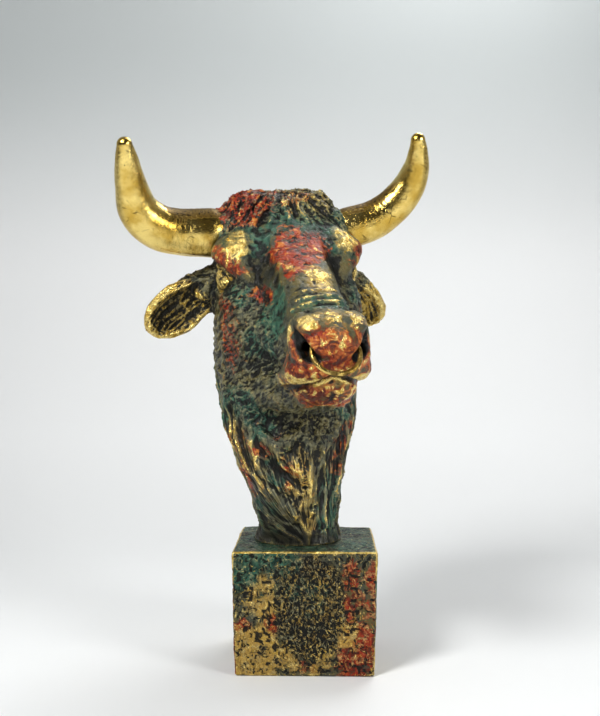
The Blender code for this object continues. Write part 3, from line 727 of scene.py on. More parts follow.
def regions(q):
    """How much of the poll, neck, nose pad, lips, eyes and ears each point belongs to."""
    m = mirrored(q)
    on_throat = 1 - smooth(q[:, 0] * 0.35 + q[:, 2] + 0.35, 0.0, 0.09)
    behind = smooth(-q[:, 0], 0.28, 0.36) * smooth(-q[:, 2], -0.10, 0.0)
    share = {
        "neck": np.maximum(on_throat, behind),
        "poll": smooth(-q[:, 0] - 0.05, 0.0, 0.06) * smooth(q[:, 2], 0.12, 0.19),
        "pad": spot(m, (0.59, 0.02, 0.095), (0.085, 0.12, 0.080), 0.25),
        "lips": spot(m, (0.57, 0.05, -0.045), (0.13, 0.13, 0.12), 0.3),
        "eye": spot(m, (-0.048, 0.222, 0.030), (0.052, 0.040, 0.042), 0.25),
        "ear": np.zeros(len(q)),
    }
    for side in EARS:
        root, _, length, turn = ear_frame(side)
        at = (q - root) @ turn.T
        blade = spot(at, (0.66 * length, 0, 0), (0.46 * length, 0.13, 0.09), 0.15)
        share["ear"] = np.maximum(share["ear"], blade)
    share["neck"] *= 1 - share["ear"]
    return share


def carve(points, facing):
    """Moves the casting's skin into folds, strokes, locks, pits and wrinkles."""
    q = to_head(points)
    share = regions(q)
    neck_way, face_way, poll_way = neck_lie(points)[1], face_lie(q)[1], poll_lie(q)[1]
    way = unit(
        neck_way * share["neck"][:, None]
        + face_way * (1 - np.maximum(share["neck"], share["poll"]))[:, None]
        + 1.5 * poll_way * share["poll"][:, None]
    )
    for side in EARS:
        along = ear_frame(side)[3][0] @ AXES
        near_ear = share["ear"] * (np.sign(q[:, 1]) == side)
        way = unit(way * (1 - near_ear)[:, None] + along * near_ear[:, None])
    way = unit(way - (way * facing).sum(axis=1, keepdims=True) * facing)
    wander = drift(points, 0.016, 3)
    bent = points + 0.0030 * wander
    tousled = points + (0.0026 + 0.0050 * share["poll"])[:, None] * wander
    rope = ridged(streaks(bent, way, 0.0078, 0.055, 11))
    strand = ridged(streaks(tousled, way, 0.0040, 0.026, 12))
    hair = ridged(streaks(tousled, way, 0.0027, 0.012, 13, samples=3))
    lump = noise(points, 0.0095, 21) + 0.5 * noise(points, 0.0050, 22)
    pit = smooth(noise(points, 0.0036, 31), 0.40, 0.80)
    pebble = noise(points, 0.0034, 41)
    skin = 1 - np.maximum.reduce(list(share.values()))
    side = skin * (1 - upper_face(q))
    relief = share["neck"] * (1.35 * rope + 0.70 * strand)
    relief += share["poll"] * (1.30 * strand + 0.55 * hair + 0.60 * lump)
    relief += side * (0.70 * strand + 0.40 * hair) + skin * (0.55 * lump + 0.08 * hair - 0.55 * pit)
    relief += share["ear"] * (0.60 * strand + 0.20 * hair)
    on_pad = share["pad"] * (0.40 * lump + 0.10 * pebble)
    relief += on_pad + share["lips"] * (0.45 * lump + 0.42 * pebble)
    rises = smooth(points[:, 2] - PLINTH_HEIGHT, 0.0, 0.003) * (1 - share["eye"])
    return points + facing * (MILLIMETRE * relief * rises)[:, None]


# Objects


def mesh_piece(name, points, faces, replaced):
    mesh = bpy.data.meshes.new(name)
    mesh.from_pydata(points.tolist(), [], faces.tolist())
    mesh.shade_smooth()
    obj = bpy.data.objects.new(name, mesh)
    bpy.context.scene.collection.objects.link(obj)
    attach(obj, "root")
    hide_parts(replaced)
    return obj


def thin_out(obj, triangles):
    """Lowers the mesh to its share of triangles, fewest where the skin is flat."""
    count = sum(len(face.vertices) - 2 for face in obj.data.polygons)
    if count <= triangles:
        return
    modifier = obj.modifiers.new("facets", "DECIMATE")
    modifier.ratio = triangles / count
    depsgraph = bpy.context.evaluated_depsgraph_get()
    mesh = bpy.data.meshes.new_from_object(obj.evaluated_get(depsgraph))
    obj.modifiers.clear()
    obj.data = mesh
    mesh.shade_smooth()


def vertices_of(mesh):
    """The mesh's points, and the way its skin faces at each."""
    found = []
    for key in ("co", "normal"):
        values = np.empty(3 * len(mesh.vertices), np.float32)
        mesh.vertices.foreach_get(key, values)
        found.append(values.reshape(-1, 3).astype(float))
    return found


def skinned(name, slot, replaced, form, low, high, cell, carving, triangles):
    """A carved skin of the form as a piece, with its points and the way it faces at each."""
    points, faces = skin_of(form, low, high, cell)
    points, facing = settle(form, points, cell)
    piece = mesh_piece(name, carving(points, unit(facing)), faces, replaced)
    thin_out(piece, triangles)
    return piece, *vertices_of(piece.data)


def set_shares(mesh, **shares):
    """Keeps numbers from 0 to 1 at the mesh's points, for the materials to read by name."""
    for name, value in shares.items():
        attribute = mesh.attributes.new(name, "FLOAT", "POINT")
        attribute.data.foreach_set("value", np.clip(value, 0, 1).astype(np.float32))


def set_place(mesh, name, value):
    attribute = mesh.attributes.new(name, "FLOAT_VECTOR", "POINT")
    attribute.data.foreach_set("vector", np.ascontiguousarray(value, np.float32).ravel())


def crests(mesh, reaches):
    """How far each point stands above the skin within each reach, in metres: below 0 in a groove."""
    points, facing = vertices_of(mesh)
    edges = np.empty(2 * len(mesh.edges), np.int32)
    mesh.edges.foreach_get("vertices", edges)
    a, b = edges.reshape(-1, 2).T
    step = np.sqrt(((points[a] - points[b]) ** 2).sum(axis=1).mean())
    count = np.bincount(a, minlength=len(points)) + np.bincount(b, minlength=len(points)) + 1.0
    around, done, found = points.copy(), 0, []
    for reach in reaches:
        for _ in range(max(1, round((reach / step) ** 2)) - done):
            total = around.copy()
            for k in range(3):
                total[:, k] += np.bincount(a, around[b, k], len(points))
                total[:, k] += np.bincount(b, around[a, k], len(points))
            around = total / count[:, None]
            done += 1
        found.append(((points - around) * facing).sum(axis=1))
    return found


def shelter(form, points, facing):
    """How closed in each point is by the form itself, from 0 to 1. The patina paints the most closed-in
    places black as painted shade.
    """
    total = np.zeros(len(points))
    for reach, weight in ((0.004, 0.35), (0.009, 0.35), (0.018, 0.30)):
        total += weight * np.clip(1 - patchwise(form, points + facing * reach) / reach, 0, 1.6)
    return total


def build_casting():
    low = np.array([-0.62, -0.86, 0]) * HEAD_LENGTH + (0, 0, PLINTH_HEIGHT - 4 * CAST_CELL)
    high = np.array([0.52, 0.56, 0.45]) * HEAD_LENGTH + (0, 0, HEAD_PLACE[2])
    names = ("bull_head_casting", "patina", "bull_head")
    piece, points, facing = skinned(*names, casting, low, high, CAST_CELL, carve, CAST_TRIANGLES)
    mesh, q = piece.data, to_head(points)
    fine, middle, broad = crests(mesh, (0.0018, 0.0035, 0.0070))
    cloud = 0.4 * noise(points, 0.03, 95)
    standing = 0.7 * fine / fine.std() + middle / middle.std() + 0.7 * broad / broad.std() + cloud
    # hollow tells the patina where to paint shade in the deep hollows
    set_shares(mesh, crest=ranked(standing), hollow=shelter(casting, points, facing))
    lies = {"neck": neck_lie(points), "face": face_lie(q), "poll": poll_lie(q)}
    for name, (coords, _) in lies.items():
        set_place(mesh, name + "_strokes", coords)
    paint_casting(mesh, points, q)
    return piece


# Patches of each wash of colour on the head: strength, middle and reach, as shares of its length.
# A patch with both sides set lies on the left and the right alike

BOTH, ONE = True, False
RED_PATCHES = [
    (1.0, ONE, (0.12, -0.02, 0.18), (0.13, 0.08, 0.08)),
    (0.9, ONE, (0.06, 0.08, 0.18), (0.10, 0.06, 0.06)),
    (0.9, ONE, (0.21, -0.055, 0.16), (0.07, 0.03, 0.05)),
    (1.0, ONE, (-0.20, -0.14, 0.26), (0.12, 0.11, 0.09)),
    (0.7, ONE, (-0.18, 0.03, 0.28), (0.10, 0.07, 0.06)),
    (1.0, BOTH, (0.00, 0.225, 0.115), (0.10, 0.06, 0.040)),
    (0.8, ONE, (0.06, -0.24, -0.04), (0.09, 0.08, 0.05)),
    (0.7, BOTH, (0.13, 0.23, -0.14), (0.07, 0.08, 0.09)),
    (0.7, ONE, (0.19, -0.13, 0.06), (0.06, 0.05, 0.025)),
    (1.3, BOTH, (0.61, 0.03, 0.055), (0.11, 0.13, 0.07)),
    (0.9, BOTH, (0.58, 0.08, -0.02), (0.09, 0.08, 0.06)),
    (1.0, BOTH, (0.56, 0.05, -0.09), (0.11, 0.11, 0.07)),
]
TEAL_PATCHES = [
    (1.0, ONE, (-0.06, 0.03, 0.23), (0.10, 0.12, 0.06)),
    (0.9, BOTH, (-0.13, 0.21, 0.19), (0.07, 0.06, 0.05)),
    (0.9, BOTH, (-0.03, 0.17, 0.17), (0.10, 0.07, 0.06)),
    (1.0, BOTH, (0.02, 0.12, 0.18), (0.12, 0.04, 0.05)),
    (0.9, BOTH, (0.10, 0.20, 0.03), (0.12, 0.07, 0.045)),
    (1.0, BOTH, (0.28, 0.12, 0.05), (0.12, 0.06, 0.07)),
    (0.8, ONE, (0.42, -0.01, 0.13), (0.07, 0.10, 0.05)),
    (0.8, BOTH, (0.27, 0.15, -0.09), (0.10, 0.07, 0.09)),
    (0.8, BOTH, (0.22, 0.19, -0.34), (0.15, 0.09, 0.07)),
    (0.8, BOTH, (0.57, 0.115, 0.06), (0.06, 0.03, 0.07)),
    (0.5, ONE, (-0.38, 0.0, 0.05), (0.10, 0.30, 0.20)),
]
GOLD_PATCHES = [
    (0.9, BOTH, (-0.02, 0.185, 0.165), (0.09, 0.045, 0.05)),
    (1.3, ONE, (0.30, 0.02, 0.155), (0.09, 0.040, 0.04)),
    (0.30, ONE, (0.42, 0.0, 0.14), (0.08, 0.09, 0.03)),
    (0.6, ONE, (0.21, -0.05, 0.16), (0.03, 0.02, 0.03)),
    (0.6, ONE, (-0.13, 0.08, 0.26), (0.10, 0.10, 0.06)),
    (0.55, BOTH, (0.56, 0.04, 0.14), (0.05, 0.07, 0.025)),
    (1.3, BOTH, (0.60, 0.04, -0.045), (0.09, 0.10, 0.022)),
    (0.35, BOTH, (0.56, 0.05, -0.09), (0.12, 0.12, 0.06)),
    (0.9, BOTH, (0.50, 0.12, -0.12), (0.07, 0.05, 0.030)),
    (0.5, BOTH, (0.53, 0.13, 0.05), (0.03, 0.03, 0.07)),
]
# The same on the neck: strength, degrees, share of height, and reach in degrees and share of height
NECK_RED = [
    (0.9, 58, 0.32, 16, 0.09), (0.8, -28, 0.31, 22, 0.05), (0.8, 5, 0.22, 16, 0.05),
    (0.7, -60, 0.24, 14, 0.10), (0.6, 130, 0.50, 40, 0.25), (0.5, -120, 0.30, 35, 0.15),
]
NECK_TEAL = [
    (1.0, -45, 0.42, 22, 0.06), (1.0, -10, 0.36, 16, 0.07), (0.9, -18, 0.22, 12, 0.05),
    (0.8, 50, 0.12, 25, 0.10), (0.8, -38, 0.08, 30, 0.07), (0.7, 180, 0.40, 60, 0.30),
    (0.6, 90, 0.45, 30, 0.20), (0.6, -95, 0.45, 30, 0.25),
]
NECK_GOLD = [
    (0.8, -50, 0.34, 8, 0.14), (0.8, 12, 0.20, 13, 0.15), (0.7, 32, 0.36, 14, 0.06),
    (0.5, -35, 0.20, 14, 0.06), (0.9, 16, 0.07, 10, 0.05),
]


def strongest(patches, share):
    """The most that any of the patches gives each point: its strength times its share there."""
    return np.maximum.reduce([strength * share(*place) for strength, *place in patches])


def washed(q, m, patches):
    return strongest(patches, lambda both, middle, reach: spot(m if both else q, middle, reach))


def neck_washed(points, patches):
    height, angle, _ = round_neck(points)

    def share(degrees, middle, wide, tall):
        turn = (angle - degrees + 180) % 360 - 180
        return 1 - smooth(np.hypot(turn / wide, (height - middle) / tall), 0.4, 1.6)

    return strongest(patches, share)


def ragged(value, points, seed, size, coarse, fine, least):
    """A wash with its edges broken up by noise, and a few flecks of it elsewhere."""
    warp = coarse * noise(points, size, seed) + fine * noise(points, 0.006, seed + 1)
    return value + warp * (least + (1 - least) * (value > 0.02))


def paint_casting(mesh, points, q):
    """Where each wash of colour and each painted feature lies. The rest is dark grey-green."""
    m, share = mirrored(q), regions(q)
    ear_share, neck_share = share["ear"], share["neck"] * (1 - share["ear"])
    layers = {
        "red": (RED_PATCHES, NECK_RED, 51),
        "teal": (TEAL_PATCHES, NECK_TEAL, 61),
        "gold": (GOLD_PATCHES, NECK_GOLD, None),
    }
    for name, (patches, neck_patches, seed) in layers.items():
        value = washed(q, m, patches) * (1 - neck_share) + neck_washed(points, neck_patches) * neck_share
        if name == "gold":
            value = np.maximum(value, 0.85 * ear_share)
        else:
            value = ragged(value, points, seed, 0.013, 0.40, 0.25, 0.35) * (1 - 0.7 * ear_share)
        set_shares(mesh, **{name: value})
    ball = np.abs(ellipsoid(m, EYE_CENTRE, EYE_RADII))
    lids = np.minimum(np.abs(tube(m, UPPER_LID)), np.abs(tube(m, LOWER_LID)))
    # Black in the crease between the brow and the lids: partly dark paint, partly painted shade
    around_eye = np.maximum(
        spot(m, (-0.045, 0.235, 0.052), (0.085, 0.050, 0.050), 0.35),
        spot(m, (0.02, 0.21, 0.02), (0.05, 0.03, 0.035), 0.3),
    )
    around_eye = around_eye * smooth(ball, 0.003, 0.008) * smooth(lids, 0.0, 0.004)
    # A dark band round the foot of the neck, where it meets the plinth: painted shade, partly the
    # casting's dark paint
    foot = 1 - smooth(points[:, 2] - PLINTH_HEIGHT + 0.003 * noise(points, 0.012, 96), 0.008, 0.011)
    # Black in the nostrils, the mouth's slot and the groove beside the bridge: partly dark paint, partly
    # painted shade
    nostril = (1 - smooth(tube(m, NOSTRIL), 0.002, 0.008)) * smooth(pad_corner(m), 0.001, 0.006)
    mouth = spot(q, (0.60, 0.0, -0.095), (0.04, 0.010, 0.028), 0.3)
    brow = 0.7 * spot(m, (0.15, 0.115, 0.14), (0.09, 0.028, 0.05), 0.4)
    muzzle_share = np.maximum(share["pad"], share["lips"])
    upper = upper_face(q) * (1 - np.maximum.reduce([share["poll"], share["neck"], ear_share]))
    set_shares(
        mesh,
        neck=share["neck"],
        poll=share["poll"],
        ear=ear_share * (0.45 + 0.55 * (q[:, 1] > 0)),
        eyeball=(1 - smooth(ball, 0.003, 0.006)) * smooth(lids, 0.002, 0.006),
        lid=1 - smooth(lids, 0.001, 0.005),
        soot=np.maximum(around_eye, 0.6 * foot),
        nostril=np.maximum.reduce([nostril, mouth, brow]),
        muzzle=muzzle_share,
        bare=np.maximum(muzzle_share, 0.85 * upper),
    )


# Paint on the plinth's sides: strength, across, up, and reaches, as shares of half the side
SIDE_RED = [
    (1.0, 0.75, -0.70, 0.35, 0.50), (0.9, 0.62, 0.65, 0.14, 0.28), (0.9, 0.70, -0.05, 0.30, 0.40),
    (0.9, -0.85, -0.20, 0.12, 0.14), (0.8, -0.45, -0.15, 0.14, 0.22), (0.7, -0.05, -0.85, 0.30, 0.14),
    (0.7, 0.30, -0.85, 0.20, 0.12), (0.6, 0.92, 0.60, 0.10, 0.40),
]
SIDE_TEAL = [
    (1.0, -0.72, 0.70, 0.45, 0.45), (0.9, -0.25, 0.80, 0.25, 0.20), (0.7, 0.00, 0.40, 0.35, 0.20),
    (0.6, 0.10, 0.10, 0.18, 0.20), (0.6, 0.05, -0.75, 0.10, 0.25), (0.6, 0.80, 0.85, 0.25, 0.15),
    (0.5, -0.90, 0.10, 0.12, 0.30),
]
SIDE_GOLD = [
    (0.9, -0.70, -0.65, 0.40, 0.45), (0.7, -0.60, 0.25, 0.30, 0.30), (0.6, -0.25, -0.70, 0.25, 0.30),
    (0.5, 0.15, -0.70, 0.25, 0.30), (0.5, 0.60, -0.30, 0.25, 0.30),
]


def side_washed(across, up, patches):
    def share(x, z, wide, tall):
        return 1 - smooth(np.hypot((across - x) / wide, (up - z) / tall), 0.5, 1.5)

    return strongest(patches, share)


def side_place(points):
    """Across and up each side of the plinth from -1 to 1, and how much each point lies on top."""
    u = (points - PLINTH_MIDDLE) / PLINTH_HALF
    along_x = np.abs(u[:, 1]) > np.abs(u[:, 0])
    across = np.where(along_x, -np.sign(u[:, 1]) * u[:, 0], np.sign(u[:, 0]) * u[:, 1])
    return across, u[:, 2], smooth(u[:, 2], 0.965, 0.985)


def scribble_share(across, up, top):
    """How much each point belongs to the scribbled middle of its side."""
    return (1 - smooth(np.hypot((across - 0.08) / 0.48, (up - 0.1) / 0.85), 0.7, 1.2)) * (1 - top)


def carve_plinth(points, facing):
    """Moves the block's skin into swells, grain, pits and a scribble of fine lines."""
    across, up, top = side_place(points)
    bent = points + 0.0012 * drift(points, 0.005, 60)
    worms = ridged(streaks(bent, np.array([[0, 0, 1.0]]), 0.0020, 0.0045, 64, samples=2))
    grain = noise(points, 0.0019, 65)
    swell = noise(points, 0.022, 66) + 0.5 * noise(points, 0.010, 67)
    pits = smooth(noise(points, 0.0042, 68) + 0.3 * grain, 0.42, 0.72)
    relief = (0.10 + 0.40 * scribble_share(across, up, top)) * worms + 0.12 * grain
    relief = relief - 0.80 * pits * (1 - 0.6 * top) + 0.50 * swell
    under = smooth(points[:, 2], 0.0002, 0.004) * smooth(-facing[:, 2], 0.5, 0.1)
    points = points + facing * (MILLIMETRE * relief * under)[:, None]
    points[:, 2] = np.maximum(points[:, 2], PLINTH_LOW[2])
    return points


def build_plinth():
    names, margin = ("plinth_block", "plinth_patina", "plinth"), 4 * PLINTH_CELL
    box = (PLINTH_LOW - margin, PLINTH_HIGH + margin)
    piece, points, _ = skinned(*names, block, *box, PLINTH_CELL, carve_plinth, PLINTH_TRIANGLES)
    mesh, (across, up, top) = piece.data, side_place(points)
    fine, middle = crests(mesh, (0.0012, 0.0026))
    near_edge = np.sort(np.abs((points - PLINTH_MIDDLE) / PLINTH_HALF), axis=1)[:, 1]
    edge = smooth(near_edge, 0.945, 0.985)
    set_shares(
        mesh,
        crest=ranked(fine / fine.std() + middle / middle.std()),
        scribble=scribble_share(across, up, top),
        edge=edge + 0.25 * noise(points, 0.006, 74) * edge,
    )
    layers = {"red": (SIDE_RED, 71), "teal": (SIDE_TEAL, 81), "gold": (SIDE_GOLD, 91)}
    for name, (patches, seed) in layers.items():
        value = side_washed(across, up, patches) * (1 - top)
        if name == "teal":
            value = np.maximum(value, 0.75 * top)
        set_shares(mesh, **{name: ragged(value, points, seed, 0.014, 0.45, 0.30, 0.3)})
    return piece


def loft(line, radii, sides, closed=False):
    """Rings of points round a line. Gives the points, the faces and each point's outward way."""
    line = np.asarray(line, float)
    ahead = np.roll(line, -1, axis=0) - np.roll(line, 1, axis=0)
    if not closed:
        ahead[0], ahead[-1] = line[1] - line[0], line[-1] - line[-2]
    ahead = unit(ahead)
    across = unit(np.cross(ahead[:1], AXES[:1]))[0]
    turn = 2 * math.pi * np.arange(sides) / sides
    points, outs = [], []
    for middle, way, radius in zip(line, ahead, radii):
        across = across - (across @ way) * way
        across /= np.linalg.norm(across)
        outs.append(np.cos(turn)[:, None] * across + np.sin(turn)[:, None] * np.cross(way, across))
        points.append(middle + radius * outs[-1])
    rings, index = len(line), lambda i, j: (i % rings) * sides + j % sides
    faces = [
        (index(i, j), index(i, j + 1), index(i + 1, j + 1), index(i + 1, j))
        for i in range(rings if closed else rings - 1)
        for j in range(sides)
    ]
    if not closed:
        faces += [tuple(range(sides))[::-1], tuple(range((rings - 1) * sides, rings * sides))]
    return np.vstack(points), faces, np.vstack(outs)


def horn_line(rows, steps=20, tip_steps=10):
    """The horn's middle line and radii in metres, from its seat in the head to a rounded tip."""
    line = curve_through(rows, steps)
    middles, radii = from_head(line[:, :3]), line[:, 3] * HEAD_LENGTH
    inward = middles[:1] - middles[1:2]
    seat = np.array([[1], [0.75], [0.5], [0.25]]) * HORN_SEAT * inward / np.linalg.norm(inward)
    middles = np.vstack([middles[0] + seat, middles])
    radii = np.concatenate([radii[0] * np.array([0.90, 0.93, 0.95, 0.98]), radii])
    onward = middles[-1] - middles[-2]
    onward /= np.linalg.norm(onward)
    turn = 0.49 * math.pi * np.arange(1, tip_steps + 1) / tip_steps
    middles = np.vstack([middles, middles[-1] + onward * radii[-1] * np.sin(turn)[:, None]])
    return middles, np.append(radii, radii[-1] * np.cos(turn))


def build_horn(name, sides=72):
    middles, radii = horn_line(HORNS[name])
    points, faces, out = loft(middles, radii, sides)
    way = np.repeat(unit(np.gradient(middles, axis=0)), sides, axis=0)
    share = np.repeat(np.linspace(0, 1, len(middles)), sides)
    root = smooth(share, 0.45, 0.05)
    dents = 0.5 * noise(points, 0.010, 81) + 0.20 * noise(points, 0.004, 82)
    lines = streaks(points, way, 0.0022, 0.030, 83)
    shrink = 0.35 * smooth(share, 0.02, 0.08) * smooth(share, 0.99, 0.9)
    points = points + out * (MILLIMETRE * shrink * (dents + (0.25 + 0.35 * root) * lines))[:, None]
    piece = mesh_piece(name + "_gilt", points, np.array(faces, dtype=object), name)
    # Brown near the root on the upper side of the horn: a painted dark reflection, mixed with wear along
    # the streaks and dents
    worn_and_dark_reflection = 1.3 * out[:, 2] * smooth(share, 0.55, 0.30) + 0.5 * lines + 0.3 * dents
    set_shares(piece.data, rub=smooth(worn_and_dark_reflection, 0.2, 1.2) * smooth(share, 0.9, 0.5))
    return piece


# Nose ring: its lowest point hangs in front of the upper lip, and its top runs through the nose

RING_LOW = (0.675, 0.0, 0.020)
RING_UP = (-0.866, 0.0, 0.477)


def build_ring(steps=96, sides=24):
    radius = 0.5 * (RING_DIAMETER - RING_WIRE)
    up, across = np.array(RING_UP) @ AXES, AXES[1]
    middle = from_head(RING_LOW) + radius * up
    turns = 2 * math.pi * np.arange(steps) / steps
    line = middle + radius * (np.cos(turns)[:, None] * up + np.sin(turns)[:, None] * across)
    points, faces, out = loft(line, [0.5 * RING_WIRE] * steps, sides, closed=True)
    points = points - out * (0.1 * MILLIMETRE * (1 + noise(points, 0.003, 91)))[:, None]
    piece = mesh_piece("nose_ring_gilt", points, np.array(faces), "nose_ring")
    set_shares(piece.data, rub=0.35 + 0.35 * noise(points, 0.004, 92))
    return piece


# Materials


class Nodes:
    """Short calls for building a material's nodes."""

    def __init__(self, name):
        self.material = bpy.data.materials.new(name)
        self.material.use_nodes = True
        self.tree = self.material.node_tree
        self.shader = self.tree.nodes["Principled BSDF"]
        self.place = self.add("ShaderNodeTexCoord").outputs["Object"]

    def add(self, kind, **settings):
        node = self.tree.nodes.new(kind)
        for key, value in settings.items():
            setattr(node, key, value)
        return node

    def link(self, source, target):
        if hasattr(source, "links"):
            self.tree.links.new(source, target)
        else:
            target.default_value = source

    def attribute(self, name, output="Fac"):
        return self.add("ShaderNodeAttribute", attribute_name=name).outputs[output]

    def scaled(self, vector, sizes):
        """A place counted in steps of the given sizes."""
        node = self.add("ShaderNodeVectorMath", operation="MULTIPLY")
        self.link(vector, node.inputs[0])
        node.inputs[1].default_value = [1 / size for size in sizes]
        return node.outputs["Vector"]

    def noise(self, size, detail=3.0, rough=0.55, distort=0.0, place=None):
        node = self.add("ShaderNodeTexNoise")
        self.link(place or self.place, node.inputs["Vector"])
        settings = {"Scale": 1.0 / size, "Detail": detail, "Roughness": rough, "Distortion": distort}
        for key, value in settings.items():
            node.inputs[key].default_value = value
        return node.outputs["Fac"]

    def cracks(self, size):
        node = self.add("ShaderNodeTexVoronoi", feature="DISTANCE_TO_EDGE")
        self.link(self.place, node.inputs["Vector"])
        node.inputs["Scale"].default_value = 1 / size
        return node.outputs["Distance"]

    def math(self, operation, a, b=0.0, c=0.0):
        node = self.add("ShaderNodeMath", operation=operation)
        for value, socket in zip((a, b, c), node.inputs):
            self.link(value, socket)
        return node.outputs[0]

    def times(self, a, b):
        return self.math("MULTIPLY", a, b)

    def most(self, a, b):
        return self.math("MAXIMUM", a, b)

    def rest(self, share):
        return self.math("SUBTRACT", 1.0, share)

    def line(self, value, outer, inner):
        """1 on the lines where a noise passes its middle, down to 0 beside them."""
        return self.range(self.math("ABSOLUTE", self.math("SUBTRACT", value, 0.5)), outer, inner)

    def plus(self, first, *terms):
        """first, with each (value, weight) of the terms added to it."""
        for value, weight in terms:
            first = self.math("MULTIPLY_ADD", value, weight, first)
        return first

    def range(self, value, low, high, to_low=0.0, to_high=1.0):
        node = self.add("ShaderNodeMapRange", interpolation_type="SMOOTHSTEP")
        keys = ("Value", "From Min", "From Max", "To Min", "To Max")
        for key, number in zip(keys, (value, low, high, to_low, to_high)):
            self.link(number, node.inputs[key])
        return node.outputs["Result"]

    def mix(self, share, first, second):
        node = self.add("ShaderNodeMix", data_type="RGBA")
        colours = [socket for socket in node.inputs if socket.type == "RGBA"]
        self.link(share, node.inputs["Factor"])
        for value, socket in zip((first, second), colours):
            self.link(value if hasattr(value, "links") else (*value, 1.0), socket)
        return [socket for socket in node.outputs if socket.type == "RGBA"][0]

    def between(self, share, first, second):
        """A plain number between two others."""
        return self.math("MULTIPLY_ADD", share, self.math("SUBTRACT", second, first), first)

    def bump(self, height, depth):
        node = self.add("ShaderNodeBump")
        node.inputs["Distance"].default_value = depth
        self.link(height, node.inputs["Height"])
        self.link(node.outputs["Normal"], self.shader.inputs["Normal"])

    def give(self, **values):
        for key, value in values.items():
            self.link(value, self.shader.inputs[key.replace("_", " ").title().replace("Ior", "IOR")])


# Paints
BLACK = (0.007, 0.008, 0.006)
GREY = (0.080, 0.086, 0.058)
OLIVE = (0.150, 0.125, 0.045)
TEAL = (0.060, 0.165, 0.108)
DEEP_TEAL = (0.016, 0.056, 0.040)
RUST = (0.360, 0.042, 0.010)
DEEP_RUST = (0.120, 0.014, 0.005)
ORANGE = (0.560, 0.200, 0.036)
OCHRE = (0.480, 0.310, 0.075)
STRAW = (0.330, 0.310, 0.180)
GOLD = (0.600, 0.410, 0.090)
PALE_GOLD = (0.880, 0.700, 0.270)
TOBACCO = (0.150, 0.088, 0.013)
BROWN = (0.040, 0.024, 0.006)

# Painted strokes on each region: size across, along and through the skin, in metres
FACE_STROKE = (0.0026, 0.0130, 0.0030)
NECK_STROKE = (0.0028, 0.0360, 0.0050)
POLL_STROKE = (0.0026, 0.0140, 0.0040)


def washes(n, mottle, brush, fleck, ochre_share):
    """Grey-green ground with teal, rust and ochre rubbed over it where their patches lie."""
    grey = n.mix(n.range(mottle, 0.40, 0.60), GREY, OLIVE)
    teals = n.mix(n.range(brush, 0.40, 0.60), DEEP_TEAL, TEAL)
    rusts = n.mix(n.range(brush, 0.42, 0.56), DEEP_RUST, RUST)
    rusts = n.mix(n.range(n.plus(fleck, (brush, 0.8)), 0.96, 1.08), rusts, ORANGE)
    teal = n.range(n.plus(n.attribute("teal"), (mottle, 2.2), (fleck, 0.8)), 1.80, 2.25)
    red = n.range(n.plus(n.attribute("red"), (brush, 2.4), (fleck, 1.0)), 2.04, 2.54)
    colour = n.mix(red, n.mix(teal, grey, teals), rusts)
    gold = n.plus(n.attribute("gold"), (brush, 2.0), (fleck, 1.0))
    ochre = n.range(gold, 1.75, 2.25, 0.0, ochre_share)
    return n.mix(ochre, colour, OCHRE)


